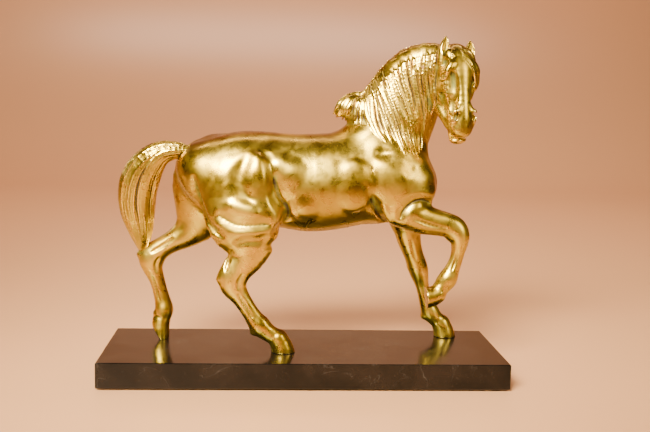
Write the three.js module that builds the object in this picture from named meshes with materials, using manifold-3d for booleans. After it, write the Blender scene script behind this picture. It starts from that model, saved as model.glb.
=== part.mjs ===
// A walking horse in cast bronze on a black stone plinth.
// The statue is built as a foundry builds it: eight castings joined by spigots and cross
// pins, three hooves held to the stone by studs, washers and nuts, and felt pads below.
// Millimetres. X is the way the horse walks, Y is to its left, Z is up.
// The origin is the middle of the plan, on the surface that the pads stand on.

import * as THREE from 'three';
import { LoftGeometry } from 'three/addons/geometries/LoftGeometry.js';
import { mergeVertices } from 'three/addons/utils/BufferGeometryUtils.js';
import Module from 'manifold-3d';

const wasm = await Module();
wasm.setup();

// ---------------------------------------------------------------- driving dimensions

// The horse. Its landmarks below are laid out for a figure of MODEL_HEIGHT at the ear
// tips, and the whole figure is scaled to HORSE_HEIGHT.
const HORSE_HEIGHT = 331;
const MODEL_HEIGHT = 331;

// The stone plinth.
const PLINTH_LENGTH = 420;
const PLINTH_WIDTH = 140;
const PLINTH_THICKNESS = 26.5;
const PLINTH_ARRIS = 0.8;

// The felt pads.
const PAD_THICKNESS = 2;
const PAD_RADIUS = 11;
const PAD_INSET = 22;

// Bronze wall of the hollow castings.
const WALL = 4;

// Spigots that join one casting to the next: radius of each and how far it reaches in.
const NECK_SPIGOT_RADIUS = 15;
const HEAD_SPIGOT_RADIUS = 10;
const TAIL_SPIGOT_RADIUS = 3.6;
const HIND_SPIGOT_RADIUS = 9;
const FORE_SPIGOT_RADIUS = 8;
const SPIGOT_REACH = 14;
const TAIL_SPIGOT_REACH = 11;
const SOCKET_DEPTH_SPARE = 1;

// Cross pins through a casting wall and a spigot.
const PIN_RADIUS = 1.6;
const TAIL_PIN_RADIUS = 1;
const PIN_END_GAP = 0.5;

// Studs that hold the hooves to the plinth, with their washers and nuts.
const STUD_RADIUS = 2.5;
const TOE_STUD_RADIUS = 1.5;
const STUD_REACH_INTO_HOOF = 9;
const STUD_END = 1.5;
const NUT_ACROSS_FLATS = 8;
const NUT_HEIGHT = 4;
const WASHER_RADIUS = 5.5;
const TOE_NUT_ACROSS_FLATS = 5.5;
const TOE_NUT_HEIGHT = 2.4;
const TOE_WASHER_RADIUS = 3.5;
const WASHER_THICKNESS = 1;
const COUNTERBORE_DEPTH = 9;
const COUNTERBORE_CLEARANCE = 1.5;

// Space left between pieces that touch.
const GAP = 0.3;

// Facets round a casting, a spigot and a small round part.
const BODY_SIDES = 24;
const LIMB_SIDES = 14;
const SPIGOT_SIDES = 14;
const ROUND_SIDES = 16;
const PIN_SIDES = 8;
const STUD_SIDES = 12;

// ---------------------------------------------------------------- derived heights

const SCALE = HORSE_HEIGHT / MODEL_HEIGHT;
const PLINTH_BOTTOM = PAD_THICKNESS;
const GROUND = PLINTH_BOTTOM + PLINTH_THICKNESS;
const SOLE = GROUND + GAP;
const FAR = 1000;

// The body stands a few degrees off the long axis of the plinth.
const SPINE_OFFSET = 8;
const SPINE_SLOPE = 0.055;

// ---------------------------------------------------------------- geometry helpers

function spineY(x) {
  return SPINE_OFFSET + SPINE_SLOPE * x;
}

// A landmark of the figure, in model millimetres above the plinth, as a point in space.
function place(x, y, z) {
  return new THREE.Vector3(x * SCALE, y * SCALE, SOLE + z * SCALE);
}

function solidOf(geometry) {
  const bare = new THREE.BufferGeometry();
  bare.setAttribute('position', geometry.getAttribute('position'));
  bare.setIndex(geometry.getIndex());
  const merged = mergeVertices(bare, 1e-4);
  return new wasm.Manifold(new wasm.Mesh({
    numProp: 3,
    vertProperties: new Float32Array(merged.attributes.position.array),
    triVerts: new Uint32Array(merged.index.array),
  }));
}

function geometryOf(solid) {
  const mesh = solid.getMesh();
  const geometry = new THREE.BufferGeometry();
  geometry.setAttribute('position', new THREE.BufferAttribute(mesh.vertProperties, 3));
  geometry.setIndex(new THREE.BufferAttribute(mesh.triVerts, 1));
  geometry.computeVertexNormals();
  return geometry;
}

function joined(solids) {
  return solids.reduce((sum, solid) => sum.add(solid));
}

// One ring of a loft. It is an oval across the line that the loft follows: halfWidth runs
// from side to side of the horse and halfDepth at right angles to that and to the line.
function ovalRing(centre, along, halfDepth, halfWidth, side, sides) {
  const across = side.clone().addScaledVector(along, -side.dot(along)).normalize();
  const deep = new THREE.Vector3().crossVectors(along, across);
  return Array.from({ length: sides }, (_, i) => {
    const turn = (2 * Math.PI * i) / sides;
    return centre.clone()
      .addScaledVector(across, halfWidth * Math.cos(turn))
      .addScaledVector(deep, halfDepth * Math.sin(turn));
  });
}

// A closed form through stations [x, y, z, halfDepth, halfWidth]. shrink makes the form
// smaller all round, which gives the inside of a hollow casting.
function form(stations, { sides = LIMB_SIDES, shrink = 0, side = new THREE.Vector3(0, 1, 0) } = {}) {
  const centres = stations.map(([x, y, z]) => place(x, y, z));
  const sections = stations.map(([, , , halfDepth, halfWidth], i) => {
    const before = centres[Math.max(i - 1, 0)];
    const after = centres[Math.min(i + 1, centres.length - 1)];
    const along = after.clone().sub(before).normalize();
    return ovalRing(centres[i], along, halfDepth * SCALE - shrink, halfWidth * SCALE - shrink,
      side, sides);
  });
  return solidOf(new LoftGeometry(sections, { capStart: true, capEnd: true }));
}

// A round bar from one point to another.
function bar(from, to, radius, sides = ROUND_SIDES) {
  const along = to.clone().sub(from);
  const geometry = new THREE.CylinderGeometry(radius, radius, along.length(), sides);
  const turn = new THREE.Quaternion()
    .setFromUnitVectors(new THREE.Vector3(0, 1, 0), along.clone().normalize());
  geometry.applyQuaternion(turn);
  geometry.translate(...from.clone().add(to).multiplyScalar(0.5).toArray());
  return solidOf(geometry);
}

// An egg-shaped mass with its three half-sizes.
function mass(centre, halfX, halfY, halfZ, sides = LIMB_SIDES) {
  const geometry = new THREE.SphereGeometry(1, sides, Math.ceil(sides / 2));
  geometry.scale(halfX * SCALE, halfY * SCALE, halfZ * SCALE);
  geometry.translate(...place(...centre).toArray());
  return solidOf(geometry);
}

// Everything on one side of a plane: the side that its normal points to, from offset
// millimetres further along the normal.
function halfSpace(plane, offset) {
  const geometry = new THREE.BoxGeometry(FAR, FAR, FAR);
  geometry.translate(0, 0, FAR / 2);
  geometry.applyQuaternion(new THREE.Quaternion()
    .setFromUnitVectors(new THREE.Vector3(0, 0, 1), plane.normal));
  geometry.translate(...plane.point.clone().addScaledVector(plane.normal, offset).toArray());
  return solidOf(geometry);
}

// ---------------------------------------------------------------- the joints

// A joint between two castings. point is the middle of the seam and normal points out of
// the body casting, or from the neck casting into the head casting.
function seam(point, normal, spigotRadius, reach = SPIGOT_REACH, pinRadius = PIN_RADIUS) {
  return {
    point: place(...point),
    normal: new THREE.Vector3(...normal).normalize(),
    spigotRadius,
    reach,
    pinRadius,
  };
}

const NECK_SEAM = seam([80, 12, 214], [0.406, 0, 0.914], NECK_SPIGOT_RADIUS);
const HEAD_SEAM = seam([137, -2, 302], [0.62, -0.62, 0.25], HEAD_SPIGOT_RADIUS);
const TAIL_SEAM = seam([-124, 1.5, 207.2], [-1, 0, 0.1], TAIL_SPIGOT_RADIUS, TAIL_SPIGOT_REACH,
  TAIL_PIN_RADIUS);
const NEAR_HIND_SEAM = seam([-60, -26, 120], [-0.1, 0, -1], HIND_SPIGOT_RADIUS);
const FAR_HIND_SEAM = seam([-119, 31, 126], [-0.75, 0, -0.66], HIND_SPIGOT_RADIUS);
const NEAR_FORE_SEAM = seam([118, -12, 143], [0.97, 0, -0.24], FORE_SPIGOT_RADIUS);
const FAR_FORE_SEAM = seam([114, 37, 128], [0.2, 0, -0.98], FORE_SPIGOT_RADIUS);

// The spigot stands on the outer casting and reaches back into the inner one.
function spigot(joint) {
  const root = joint.point.clone().addScaledVector(joint.normal, joint.spigotRadius * 0.5);
  const tip = joint.point.clone().addScaledVector(joint.normal, -joint.reach);
  return bar(root, tip, joint.spigotRadius, SPIGOT_SIDES);
}

function socket(joint) {
  const mouth = joint.point.clone().addScaledVector(joint.normal, joint.spigotRadius);
  const end = joint.point.clone()
    .addScaledVector(joint.normal, -joint.reach - SOCKET_DEPTH_SPARE);
  return bar(mouth, end, joint.spigotRadius + GAP, SPIGOT_SIDES);
}

// The line of a cross pin: level, across the spigot and halfway in, reaching back and on
// from the middle of the spigot by these model distances.
function pinBar(joint, back, on, radius) {
  const level = new THREE.Vector3(-joint.normal.y, joint.normal.x, 0).normalize();
  if (level.y < 0) level.negate();
  const middle = joint.point.clone().addScaledVector(joint.normal, -joint.reach / 2);
  const from = middle.clone().addScaledVector(level, -back * SCALE);
  const to = middle.clone().addScaledVector(level, on * SCALE);
  return bar(from, to, radius, PIN_SIDES);
}

// ---------------------------------------------------------------- landmarks of the horse
// Each list runs along one part of the figure: x, y, z, half-depth, half-width.

const TRUNK = [
  [-121, 196, 13, 13], [-112, 191, 24, 26], [-96, 184, 39, 36], [-74, 181, 47.5, 41],
  [-48, 180, 49, 41], [-22, 178, 49.5, 41], [2, 176, 51.5, 43], [28, 178, 50.5, 44],
  [54, 183, 49.5, 42], [78, 183, 49, 38], [98, 180, 45, 36], [114, 178, 36, 32],
  [126, 177, 25, 24], [133, 177, 13, 13],
].map(([x, z, halfDepth, halfWidth]) => [x, spineY(x), z, halfDepth, halfWidth]);

const NECK_ROOT = [
  [66, 12, 188, 46, 29], [80, 12.5, 214, 47, 28], [93.5, 13, 243, 44, 27],
];

const NECK = [
  [80, 12, 214, 47, 28], [93.5, 12, 243, 44, 27], [101, 12, 262, 42, 25],
  [109, 11, 279, 38, 23], [118, 8, 292, 34, 21], [131, 1, 299, 29, 18], [144, -10, 303, 25, 15],
];

const WITHERS_LOCK = [
  [58, 10, 236, 22, 10], [50, 9, 250, 15, 8], [43, 8, 262, 8, 5], [39, 8, 267, 3, 2.5],
];

const NEAR_THIGH = [
  [-72, -12, 204, 30, 18], [-68, -18, 186, 44, 22], [-66, -23, 165, 46, 20],
  [-65, -26, 147, 43, 18], [-62, -27, 131, 37, 16], [-58, -26.5, 119, 29, 13.5],
  [-58, -26, 109, 20.5, 12],
];
const NEAR_HIND = [
  ...NEAR_THIGH.slice(4),
  [-63, -26, 99, 16.5, 10], [-71, -26, 90, 15.5, 9], [-76, -26, 79, 15.5, 9],
  [-75, -26, 70, 13, 8.5], [-69, -26, 60, 10, 7], [-61, -26, 48, 8.8, 6],
  [-53, -26, 36, 9, 6.3], [-46.5, -26, 27, 10.5, 7.8], [-38, -26, 20, 8.5, 7],
  [-29, -25.5, 15.5, 8.5, 8],
];
const NEAR_HIND_HOOF = [[-27, -25, 15.5, 9.5, 9], [-25, -25, 8, 11.5, 10.5], [-22, -25, 0, 12.5, 11.5]];

const FAR_THIGH = [
  [-80, 16, 204, 32, 18], [-88, 22, 186, 46, 21], [-97, 26, 168, 42, 20],
  [-104, 29, 151, 34, 18], [-110, 30, 138, 28, 16], [-119, 31, 125, 20, 13.5],
  [-132, 31, 114, 14.5, 11],
];
const FAR_HIND = [
  ...FAR_THIGH.slice(4),
  [-146, 31, 106, 11.5, 10], [-159, 31, 97, 12, 9], [-167, 31, 88, 14, 9],
  [-165, 31, 77, 10, 8.5], [-161, 31, 66, 7.8, 7], [-157, 30.5, 52, 7.8, 6],
  [-154, 30.5, 40, 8.3, 6.3], [-152.5, 30.5, 31, 9.3, 7.8], [-154.5, 30.5, 24, 8.2, 7],
  [-156.5, 30.5, 16, 8, 8],
];
const FAR_HIND_HOOF = [
  [-155.5, 30.5, 21, 9.5, 8.5], [-157.5, 30, 13, 9, 10], [-155.5, 30, 0.8, 4.4, 9],
];

const NEAR_SHOULDER = [
  [62, -3, 226, 14, 10], [78, -8, 205, 28, 16], [94, -11, 184, 35, 18],
  [104, -12, 165, 33, 17], [105, -13, 150, 22, 15],
];
const NEAR_FOREARM = [
  [88, -12, 156, 18, 13], [104, -13, 149, 17, 13], [120, -12, 143, 16, 12.5],
  [134, -12, 139.5, 14.3, 11], [148, -12, 136.5, 12.8, 9.5], [158, -12, 132.5, 12.3, 9.5],
  [163, -12, 124, 10.5, 9.5], [163.5, -12, 115, 8, 8], [162, -12, 105, 6.4, 6.5],
  [159.5, -12, 95, 6.6, 6], [156, -12, 86, 7.8, 6.3], [152.5, -12, 77, 9.6, 7.8],
  [147, -12, 69, 8.2, 7], [142, -12.5, 63, 7.5, 7],
];
const NEAR_FORE_HOOF = [
  [143, -12.5, 60, 9, 8.5], [137, -12.5, 58.3, 11, 10], [130, -12.5, 57, 11.2, 11],
];

const FAR_SHOULDER = [
  [66, 22, 226, 14, 10], [82, 30, 205, 26, 16], [98, 35, 184, 32, 17],
  [108, 37, 165, 27, 17], [111, 37, 147, 20, 15], [113, 37, 133, 16.5, 13],
  [116, 38, 118, 13.5, 11],
];
const FAR_FORE = [
  ...FAR_SHOULDER.slice(5),
  [119.5, 39, 105, 11.3, 10], [124, 40, 93, 10.2, 9.5], [128.5, 41, 80, 10.3, 9.5],
  [132, 42, 70, 8.8, 8.3], [135, 42.5, 59, 6.8, 6.5], [138.5, 43, 47, 7, 6],
  [142, 43.5, 36, 8, 6.5], [146, 44, 27, 9.5, 7.8], [152.5, 44.5, 19.5, 7.8, 7],
  [158.5, 45, 15, 8.5, 8],
];
const FAR_FORE_HOOF = [[159.5, 45, 15.5, 9.5, 9], [161.5, 45, 8, 11.5, 10.5], [163.5, 45, 0, 12.5, 11.5]];

const TAIL = [
  [-120, 1.3, 207, 5.5, 6], [-131, 1.7, 208.2, 7.5, 7.5], [-142, 2.3, 209, 9.5, 9],
  [-153, 3, 206.5, 12.5, 11], [-163, 4.5, 200, 16.5, 12.5], [-172, 7, 188, 20, 13.5],
  [-178, 10.5, 173, 21.2, 14], [-180.3, 14, 157, 20, 14], [-180, 17.5, 145, 19, 13.5],
  [-179, 21, 132, 16.6, 12.5], [-177.5, 25, 120, 14, 11],
];
const TAIL_TIP = [
  ...TAIL.slice(-1), [-177.5, 28.5, 111, 10.5, 9], [-178.5, 30.5, 104.5, 7, 7],
];

// The head is set out in its own axes: down the face, out of the face, and to its left.
const HEAD_ORIGIN = place(151, -13, 321);
const HEAD_TURN = THREE.MathUtils.degToRad(-71);
const HEAD_LEAN = THREE.MathUtils.degToRad(8);
const HEAD_FRONT = new THREE.Vector3(Math.cos(HEAD_TURN), Math.sin(HEAD_TURN), 0);
const HEAD_LEFT = new THREE.Vector3(-Math.sin(HEAD_TURN), Math.cos(HEAD_TURN), 0);
const HEAD_DOWN = new THREE.Vector3(0, 0, -1).multiplyScalar(Math.cos(HEAD_LEAN))
  .addScaledVector(HEAD_FRONT, Math.sin(HEAD_LEAN));
const HEAD_OUT = new THREE.Vector3().crossVectors(HEAD_DOWN, HEAD_LEFT);

// down, distance of the face line and of the jaw line out of the head's axis, half-width
const SKULL = [
  [-2, 5, -9, 8], [6, 13, -17, 15], [20, 17, -24, 20], [34, 17, -26, 20.5],
  [48, 15.5, -25, 19], [60, 14, -19, 15], [70, 14, -13, 14.5], [78, 13, -8, 14],
  [85, 11, -5, 12], [90, 6, -3, 9],
];
const CHIN = [[66, 2, -16, 11], [78, 1, -15, 9.5], [88, 0, -13, 9], [95, -2, -10, 6.5]];
const EAR_ROOT = 11;

function headPoint(down, out, left) {
  return HEAD_ORIGIN.clone()
    .addScaledVector(HEAD_DOWN, down * SCALE)
    .addScaledVector(HEAD_OUT, out * SCALE)
    .addScaledVector(HEAD_LEFT, left * SCALE);
}

// A form down the head, from its face line to its jaw line.
function headForm(stations) {
  const sections = stations.map(([down, face, jaw, halfWidth]) => {
    const centre = headPoint(down, (face + jaw) / 2, 0);
    const halfDepth = (face - jaw) / 2;
    return ovalRing(centre, HEAD_DOWN, halfDepth * SCALE, halfWidth * SCALE, HEAD_LEFT, LIMB_SIDES);
  });
  return solidOf(new LoftGeometry(sections, { capStart: true, capEnd: true }));
}

// An ear stands up from beside the poll and leans a little to the left by the end.
function ear(left, lean, height) {
  const stations = [[-0.2, 5], [0.25, 6], [0.55, 5.5], [0.8, 3.4], [1, 0.6]];
  const sections = stations.map(([share, halfWidth]) => {
    const centre = headPoint(EAR_ROOT - share * height, 0, left + lean * share);
    return ovalRing(centre, HEAD_DOWN.clone().negate(), 3 * SCALE, halfWidth * SCALE, HEAD_LEFT, 8);
  });
  return solidOf(new LoftGeometry(sections, { capStart: true, capEnd: true }));
}

// ---------------------------------------------------------------- the outer skins

const trunkSkin = form(TRUNK, { sides: BODY_SIDES });
const nearHindSkin = joined([form(NEAR_HIND), form(NEAR_HIND_HOOF)]);
const farHindSkin = joined([form(FAR_HIND), form(FAR_HIND_HOOF)]);
const nearForeSkin = joined([form(NEAR_FOREARM), form(NEAR_FORE_HOOF)]);
const farForeSkin = joined([form(FAR_FORE), form(FAR_FORE_HOOF)]);
const tailSkin = joined([form(TAIL), form(TAIL_TIP)]);
const dockSkin = mass([-113, spineY(-113), 206], 13, 9, 8);
const headSkin = joined([headForm(SKULL), headForm(CHIN), ear(-15.7, 4, 22), ear(16.3, 1.5, 18.5)]);
const shoulderSkin = joined([form(NEAR_SHOULDER), form(FAR_SHOULDER)]);
const neckSkin = joined([form(NECK_ROOT), form(NECK), form(WITHERS_LOCK)]);

// ---------------------------------------------------------------- the castings

// What one limb takes up beyond its seam, with the gap that its neighbour leaves round it.
function envelope(stations, joint) {
  return form(stations, { shrink: -GAP }).intersect(halfSpace(joint, -GAP));
}

function upTo(skin, joint) {
  return skin.subtract(halfSpace(joint, -GAP));
}

// The body: barrel, haunches and shoulders in one hollow casting. Its core comes out
// through the neck socket, so the hollow starts just inside the end of that socket.
function bodyOutside() {
  const whole = joined([
    upTo(trunkSkin, NECK_SEAM),
    upTo(form(NECK_ROOT), NECK_SEAM),
    upTo(form(NEAR_THIGH), NEAR_HIND_SEAM),
    upTo(form(FAR_THIGH), FAR_HIND_SEAM),
    upTo(upTo(form(NEAR_SHOULDER), NECK_SEAM), NEAR_FORE_SEAM),
    upTo(upTo(form(FAR_SHOULDER), NECK_SEAM), FAR_FORE_SEAM),
    upTo(form(NEAR_FOREARM), NEAR_FORE_SEAM),
    upTo(dockSkin, TAIL_SEAM),
  ]);
  return whole
    .subtract(envelope(NEAR_HIND, NEAR_HIND_SEAM))
    .subtract(envelope(FAR_HIND, FAR_HIND_SEAM))
    .subtract(envelope(NEAR_FOREARM, NEAR_FORE_SEAM))
    .subtract(envelope(FAR_FORE, FAR_FORE_SEAM))
    .subtract(envelope(TAIL, TAIL_SEAM));
}

function bodyHollow() {
  const core = form(TRUNK, { sides: BODY_SIDES, shrink: WALL });
  const clearOfSocket = SPIGOT_REACH - SOCKET_DEPTH_SPARE;
  return core.subtract(halfSpace(NECK_SEAM, -clearOfSocket));
}

function neckOutside() {
  return joined([neckSkin, trunkSkin, shoulderSkin])
    .intersect(halfSpace(NECK_SEAM, 0))
    .subtract(halfSpace(HEAD_SEAM, -GAP));
}

// The neck is hollow too. Its core hole runs down the middle of the neck spigot.
function neckHollow() {
  const core = form(NECK, { shrink: WALL })
    .intersect(halfSpace(NECK_SEAM, WALL))
    .subtract(halfSpace(HEAD_SEAM, -SPIGOT_REACH - WALL));
  const top = NECK_SEAM.point.clone().addScaledVector(NECK_SEAM.normal, 2 * WALL);
  const tip = NECK_SEAM.point.clone().addScaledVector(NECK_SEAM.normal, -2 * SPIGOT_REACH);
  return core.add(bar(top, tip, NECK_SPIGOT_RADIUS - WALL, SPIGOT_SIDES));
}

function aboveSole(solid) {
  const sole = { point: new THREE.Vector3(0, 0, SOLE), normal: new THREE.Vector3(0, 0, 1) };
  return solid.intersect(halfSpace(sole, 0));
}

// A casting that ends in a spigot: its skin beyond the seam, and the spigot behind it.
function outerCasting(skin, joint) {
  return skin.intersect(halfSpace(joint, 0)).add(spigot(joint));
}

// ---------------------------------------------------------------- fasteners and plinth

const M5 = {
  radius: STUD_RADIUS,
  flats: NUT_ACROSS_FLATS,
  nutHeight: NUT_HEIGHT,
  washerRadius: WASHER_RADIUS,
};
const M3 = {
  radius: TOE_STUD_RADIUS,
  flats: TOE_NUT_ACROSS_FLATS,
  nutHeight: TOE_NUT_HEIGHT,
  washerRadius: TOE_WASHER_RADIUS,
};

// The three hooves that are fastened down, and where each stud stands.
const FIXINGS = {
  near_hind: { at: place(-22, -25, 0), size: M5 },
  far_fore: { at: place(163, 45, 0), size: M5 },
  far_hind: { at: place(-155.7, 30, 0), size: M3 },
};

const SEAT = PLINTH_BOTTOM + COUNTERBORE_DEPTH;

function onAxis(at, low, high, radius, sides = ROUND_SIDES) {
  return bar(at.clone().setZ(low), at.clone().setZ(high), radius, sides);
}

function stud({ at, size }) {
  const low = SEAT - WASHER_THICKNESS - size.nutHeight - 3 * GAP - STUD_END;
  return onAxis(at, low, SOLE + STUD_REACH_INTO_HOOF, size.radius, STUD_SIDES);
}

function studHole({ at, size }) {
  const depth = STUD_REACH_INTO_HOOF + SOCKET_DEPTH_SPARE;
  return onAxis(at, SOLE - SOCKET_DEPTH_SPARE, SOLE + depth, size.radius + GAP, STUD_SIDES);
}

function washer({ at, size }) {
  const high = SEAT - GAP;
  const low = high - WASHER_THICKNESS;
  return onAxis(at, low, high, size.washerRadius)
    .subtract(onAxis(at, low - 1, high + 1, size.radius + GAP, STUD_SIDES));
}

function nut({ at, size }) {
  const high = SEAT - WASHER_THICKNESS - 2 * GAP;
  const low = high - size.nutHeight;
  return onAxis(at, low, high, size.flats / Math.sqrt(3), 6)
    .subtract(onAxis(at, low - 1, high + 1, size.radius + GAP, STUD_SIDES));
}

// A slab with its edges just broken, drilled through and counterbored from below for each
// fastened hoof.
function plinth() {
  const halfLength = PLINTH_LENGTH / 2 - PLINTH_ARRIS;
  const halfWidth = PLINTH_WIDTH / 2 - PLINTH_ARRIS;
  const outline = new THREE.Shape([
    new THREE.Vector2(-halfLength, -halfWidth), new THREE.Vector2(halfLength, -halfWidth),
    new THREE.Vector2(halfLength, halfWidth), new THREE.Vector2(-halfLength, halfWidth),
  ]);
  const slab = new THREE.ExtrudeGeometry(outline, {
    depth: PLINTH_THICKNESS - 2 * PLINTH_ARRIS,
    bevelThickness: PLINTH_ARRIS,
    bevelSize: PLINTH_ARRIS,
    bevelSegments: 1,
  });
  slab.translate(0, 0, PLINTH_BOTTOM + PLINTH_ARRIS);
  const holes = Object.values(FIXINGS).flatMap(({ at, size }) => [
    onAxis(at, PLINTH_BOTTOM - 1, GROUND + 1, size.radius + GAP, STUD_SIDES),
    onAxis(at, PLINTH_BOTTOM - 1, SEAT, size.washerRadius + COUNTERBORE_CLEARANCE),
  ]);
  return solidOf(slab).subtract(joined(holes));
}

function pad(signX, signY) {
  const x = signX * (PLINTH_LENGTH / 2 - PAD_INSET);
  const y = signY * (PLINTH_WIDTH / 2 - PAD_INSET);
  return onAxis(new THREE.Vector3(x, y, 0), 0, PAD_THICKNESS - GAP, PAD_RADIUS, 2 * ROUND_SIDES);
}

// ---------------------------------------------------------------- materials

const bronze = () => new THREE.MeshStandardMaterial({ color: 0xb8862f, roughness: 0.3, metalness: 1 });
const blackStone = () => new THREE.MeshStandardMaterial({ color: 0x0c0b0b, roughness: 0.15 });
const steel = () => new THREE.MeshStandardMaterial({ color: 0x9a9a96, roughness: 0.4, metalness: 1 });
const felt = () => new THREE.MeshStandardMaterial({ color: 0x1e2b20, roughness: 1 });

// ---------------------------------------------------------------- assembly

const horse = new THREE.Group();

function addPiece(name, solid, material) {
  const mesh = new THREE.Mesh(geometryOf(solid), material);
  mesh.name = name;
  horse.add(mesh);
}

const outside = bodyOutside();
const neckShell = neckOutside();

// Each joint, the skin that its cross pin is filed flush with, and how far the pin reaches
// to each side of the spigot before that.
const JOINTS = [
  { name: 'neck', joint: NECK_SEAM, holder: outside, back: 60, on: 60 },
  { name: 'head', joint: HEAD_SEAM, holder: neckShell, back: 40, on: 40 },
  { name: 'tail', joint: TAIL_SEAM, holder: outside, back: 12, on: 9 },
  { name: 'near_hind', joint: NEAR_HIND_SEAM, holder: outside, back: 28, on: 28 },
  { name: 'far_hind', joint: FAR_HIND_SEAM, holder: outside, back: 26, on: 28 },
  { name: 'near_fore', joint: NEAR_FORE_SEAM, holder: outside, back: 28, on: 14.5 },
  { name: 'far_fore', joint: FAR_FORE_SEAM, holder: outside, back: 24, on: 28 },
];

function pinHole({ joint, back, on }) {
  return pinBar(joint, back, on, joint.pinRadius + GAP);
}

// A pin is filed off flush with the skin of the casting that it goes through.
function pin({ joint, holder, back, on }) {
  const line = pinBar(joint, back - PIN_END_GAP, on - PIN_END_GAP, joint.pinRadius);
  return line.intersect(holder);
}

const jointNamed = (name) => JOINTS.find((entry) => entry.name === name);
const bodyJoints = JOINTS.filter(({ holder }) => holder === outside);

const bodyCasting = outside
  .subtract(bodyHollow())
  .subtract(joined(bodyJoints.map(({ joint }) => socket(joint))))
  .subtract(joined(bodyJoints.map(pinHole)));

const neckCasting = neckShell
  .add(spigot(NECK_SEAM))
  .subtract(neckHollow())
  .subtract(socket(HEAD_SEAM))
  .subtract(joined([pinHole(jointNamed('neck')), pinHole(jointNamed('head'))]));

const headCasting = outerCasting(headSkin, HEAD_SEAM).subtract(pinHole(jointNamed('head')));

function legCasting(name, skin) {
  const entry = jointNamed(name);
  const leg = aboveSole(outerCasting(skin, entry.joint)).subtract(pinHole(entry));
  return FIXINGS[name] ? leg.subtract(studHole(FIXINGS[name])) : leg;
}

const tailCasting = outerCasting(tailSkin, TAIL_SEAM)
  .subtract(pinHole(jointNamed('tail')))
  .subtract(form(FAR_HIND, { shrink: -GAP }));

addPiece('body_casting', bodyCasting, bronze());
addPiece('neck_casting', neckCasting, bronze());
addPiece('head_casting', headCasting, bronze());
addPiece('tail_casting', tailCasting, bronze());
addPiece('near_hind_leg', legCasting('near_hind', nearHindSkin), bronze());
addPiece('far_hind_leg', legCasting('far_hind', farHindSkin), bronze());
addPiece('near_fore_leg', legCasting('near_fore', nearForeSkin), bronze());
addPiece('far_fore_leg', legCasting('far_fore', farForeSkin), bronze());
for (const entry of JOINTS) addPiece(`${entry.name}_pin`, pin(entry), bronze());

addPiece('plinth', plinth(), blackStone());
for (const [name, fixing] of Object.entries(FIXINGS)) {
  addPiece(`${name}_stud`, stud(fixing), bronze());
  addPiece(`${name}_washer`, washer(fixing), steel());
  addPiece(`${name}_nut`, nut(fixing), steel());
}
const CORNERS = { near_rear: [-1, -1], near_front: [1, -1], far_rear: [-1, 1], far_front: [1, 1] };
for (const [name, [signX, signY]] of Object.entries(CORNERS)) {
  addPiece(`${name}_pad`, pad(signX, signY), felt());
}

export default horse;
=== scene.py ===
"""Looks of the bronze horse: a sculpted surface for each casting, hair, stone and fixings.

The figure is laid out in millimetres above the plinth's top, on the same landmarks as the
CAD castings. Each casting is a distance field on a lattice: forms are merged into it and
creases are carved from it, then it is meshed and cut at the seams between castings.
"""

import math

import bmesh
import bpy
import numpy as np
from mathutils import Matrix, Vector


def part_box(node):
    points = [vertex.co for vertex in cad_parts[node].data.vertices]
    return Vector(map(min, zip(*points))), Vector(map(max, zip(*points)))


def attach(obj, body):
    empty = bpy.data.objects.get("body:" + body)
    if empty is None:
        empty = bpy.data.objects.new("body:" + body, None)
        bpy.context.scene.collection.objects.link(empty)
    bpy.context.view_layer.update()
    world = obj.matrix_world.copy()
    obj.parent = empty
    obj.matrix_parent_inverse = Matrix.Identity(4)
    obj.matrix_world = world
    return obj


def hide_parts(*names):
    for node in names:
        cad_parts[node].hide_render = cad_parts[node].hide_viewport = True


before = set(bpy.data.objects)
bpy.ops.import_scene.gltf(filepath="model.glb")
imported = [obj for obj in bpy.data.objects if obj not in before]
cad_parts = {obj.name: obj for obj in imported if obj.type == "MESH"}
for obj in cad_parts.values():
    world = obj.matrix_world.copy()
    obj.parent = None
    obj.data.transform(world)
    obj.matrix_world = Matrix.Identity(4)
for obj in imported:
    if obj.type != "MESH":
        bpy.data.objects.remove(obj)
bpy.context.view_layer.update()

# ------------------------------------------------------------------ sizes from the frame

MODEL_PLINTH_LENGTH = 420.0
PLINTH_LOW, PLINTH_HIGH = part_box("plinth")
MM = (PLINTH_HIGH[0] - PLINTH_LOW[0]) / MODEL_PLINTH_LENGTH
TOP = PLINTH_HIGH[2]
COARSE = 1.0

BODY_STEP = 1.15
LIMB_STEP = 0.8
NECK_STEP = 0.6
HEAD_STEP = 0.5
TAIL_STEP = 0.5

# ------------------------------------------------------------------ materials


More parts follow.
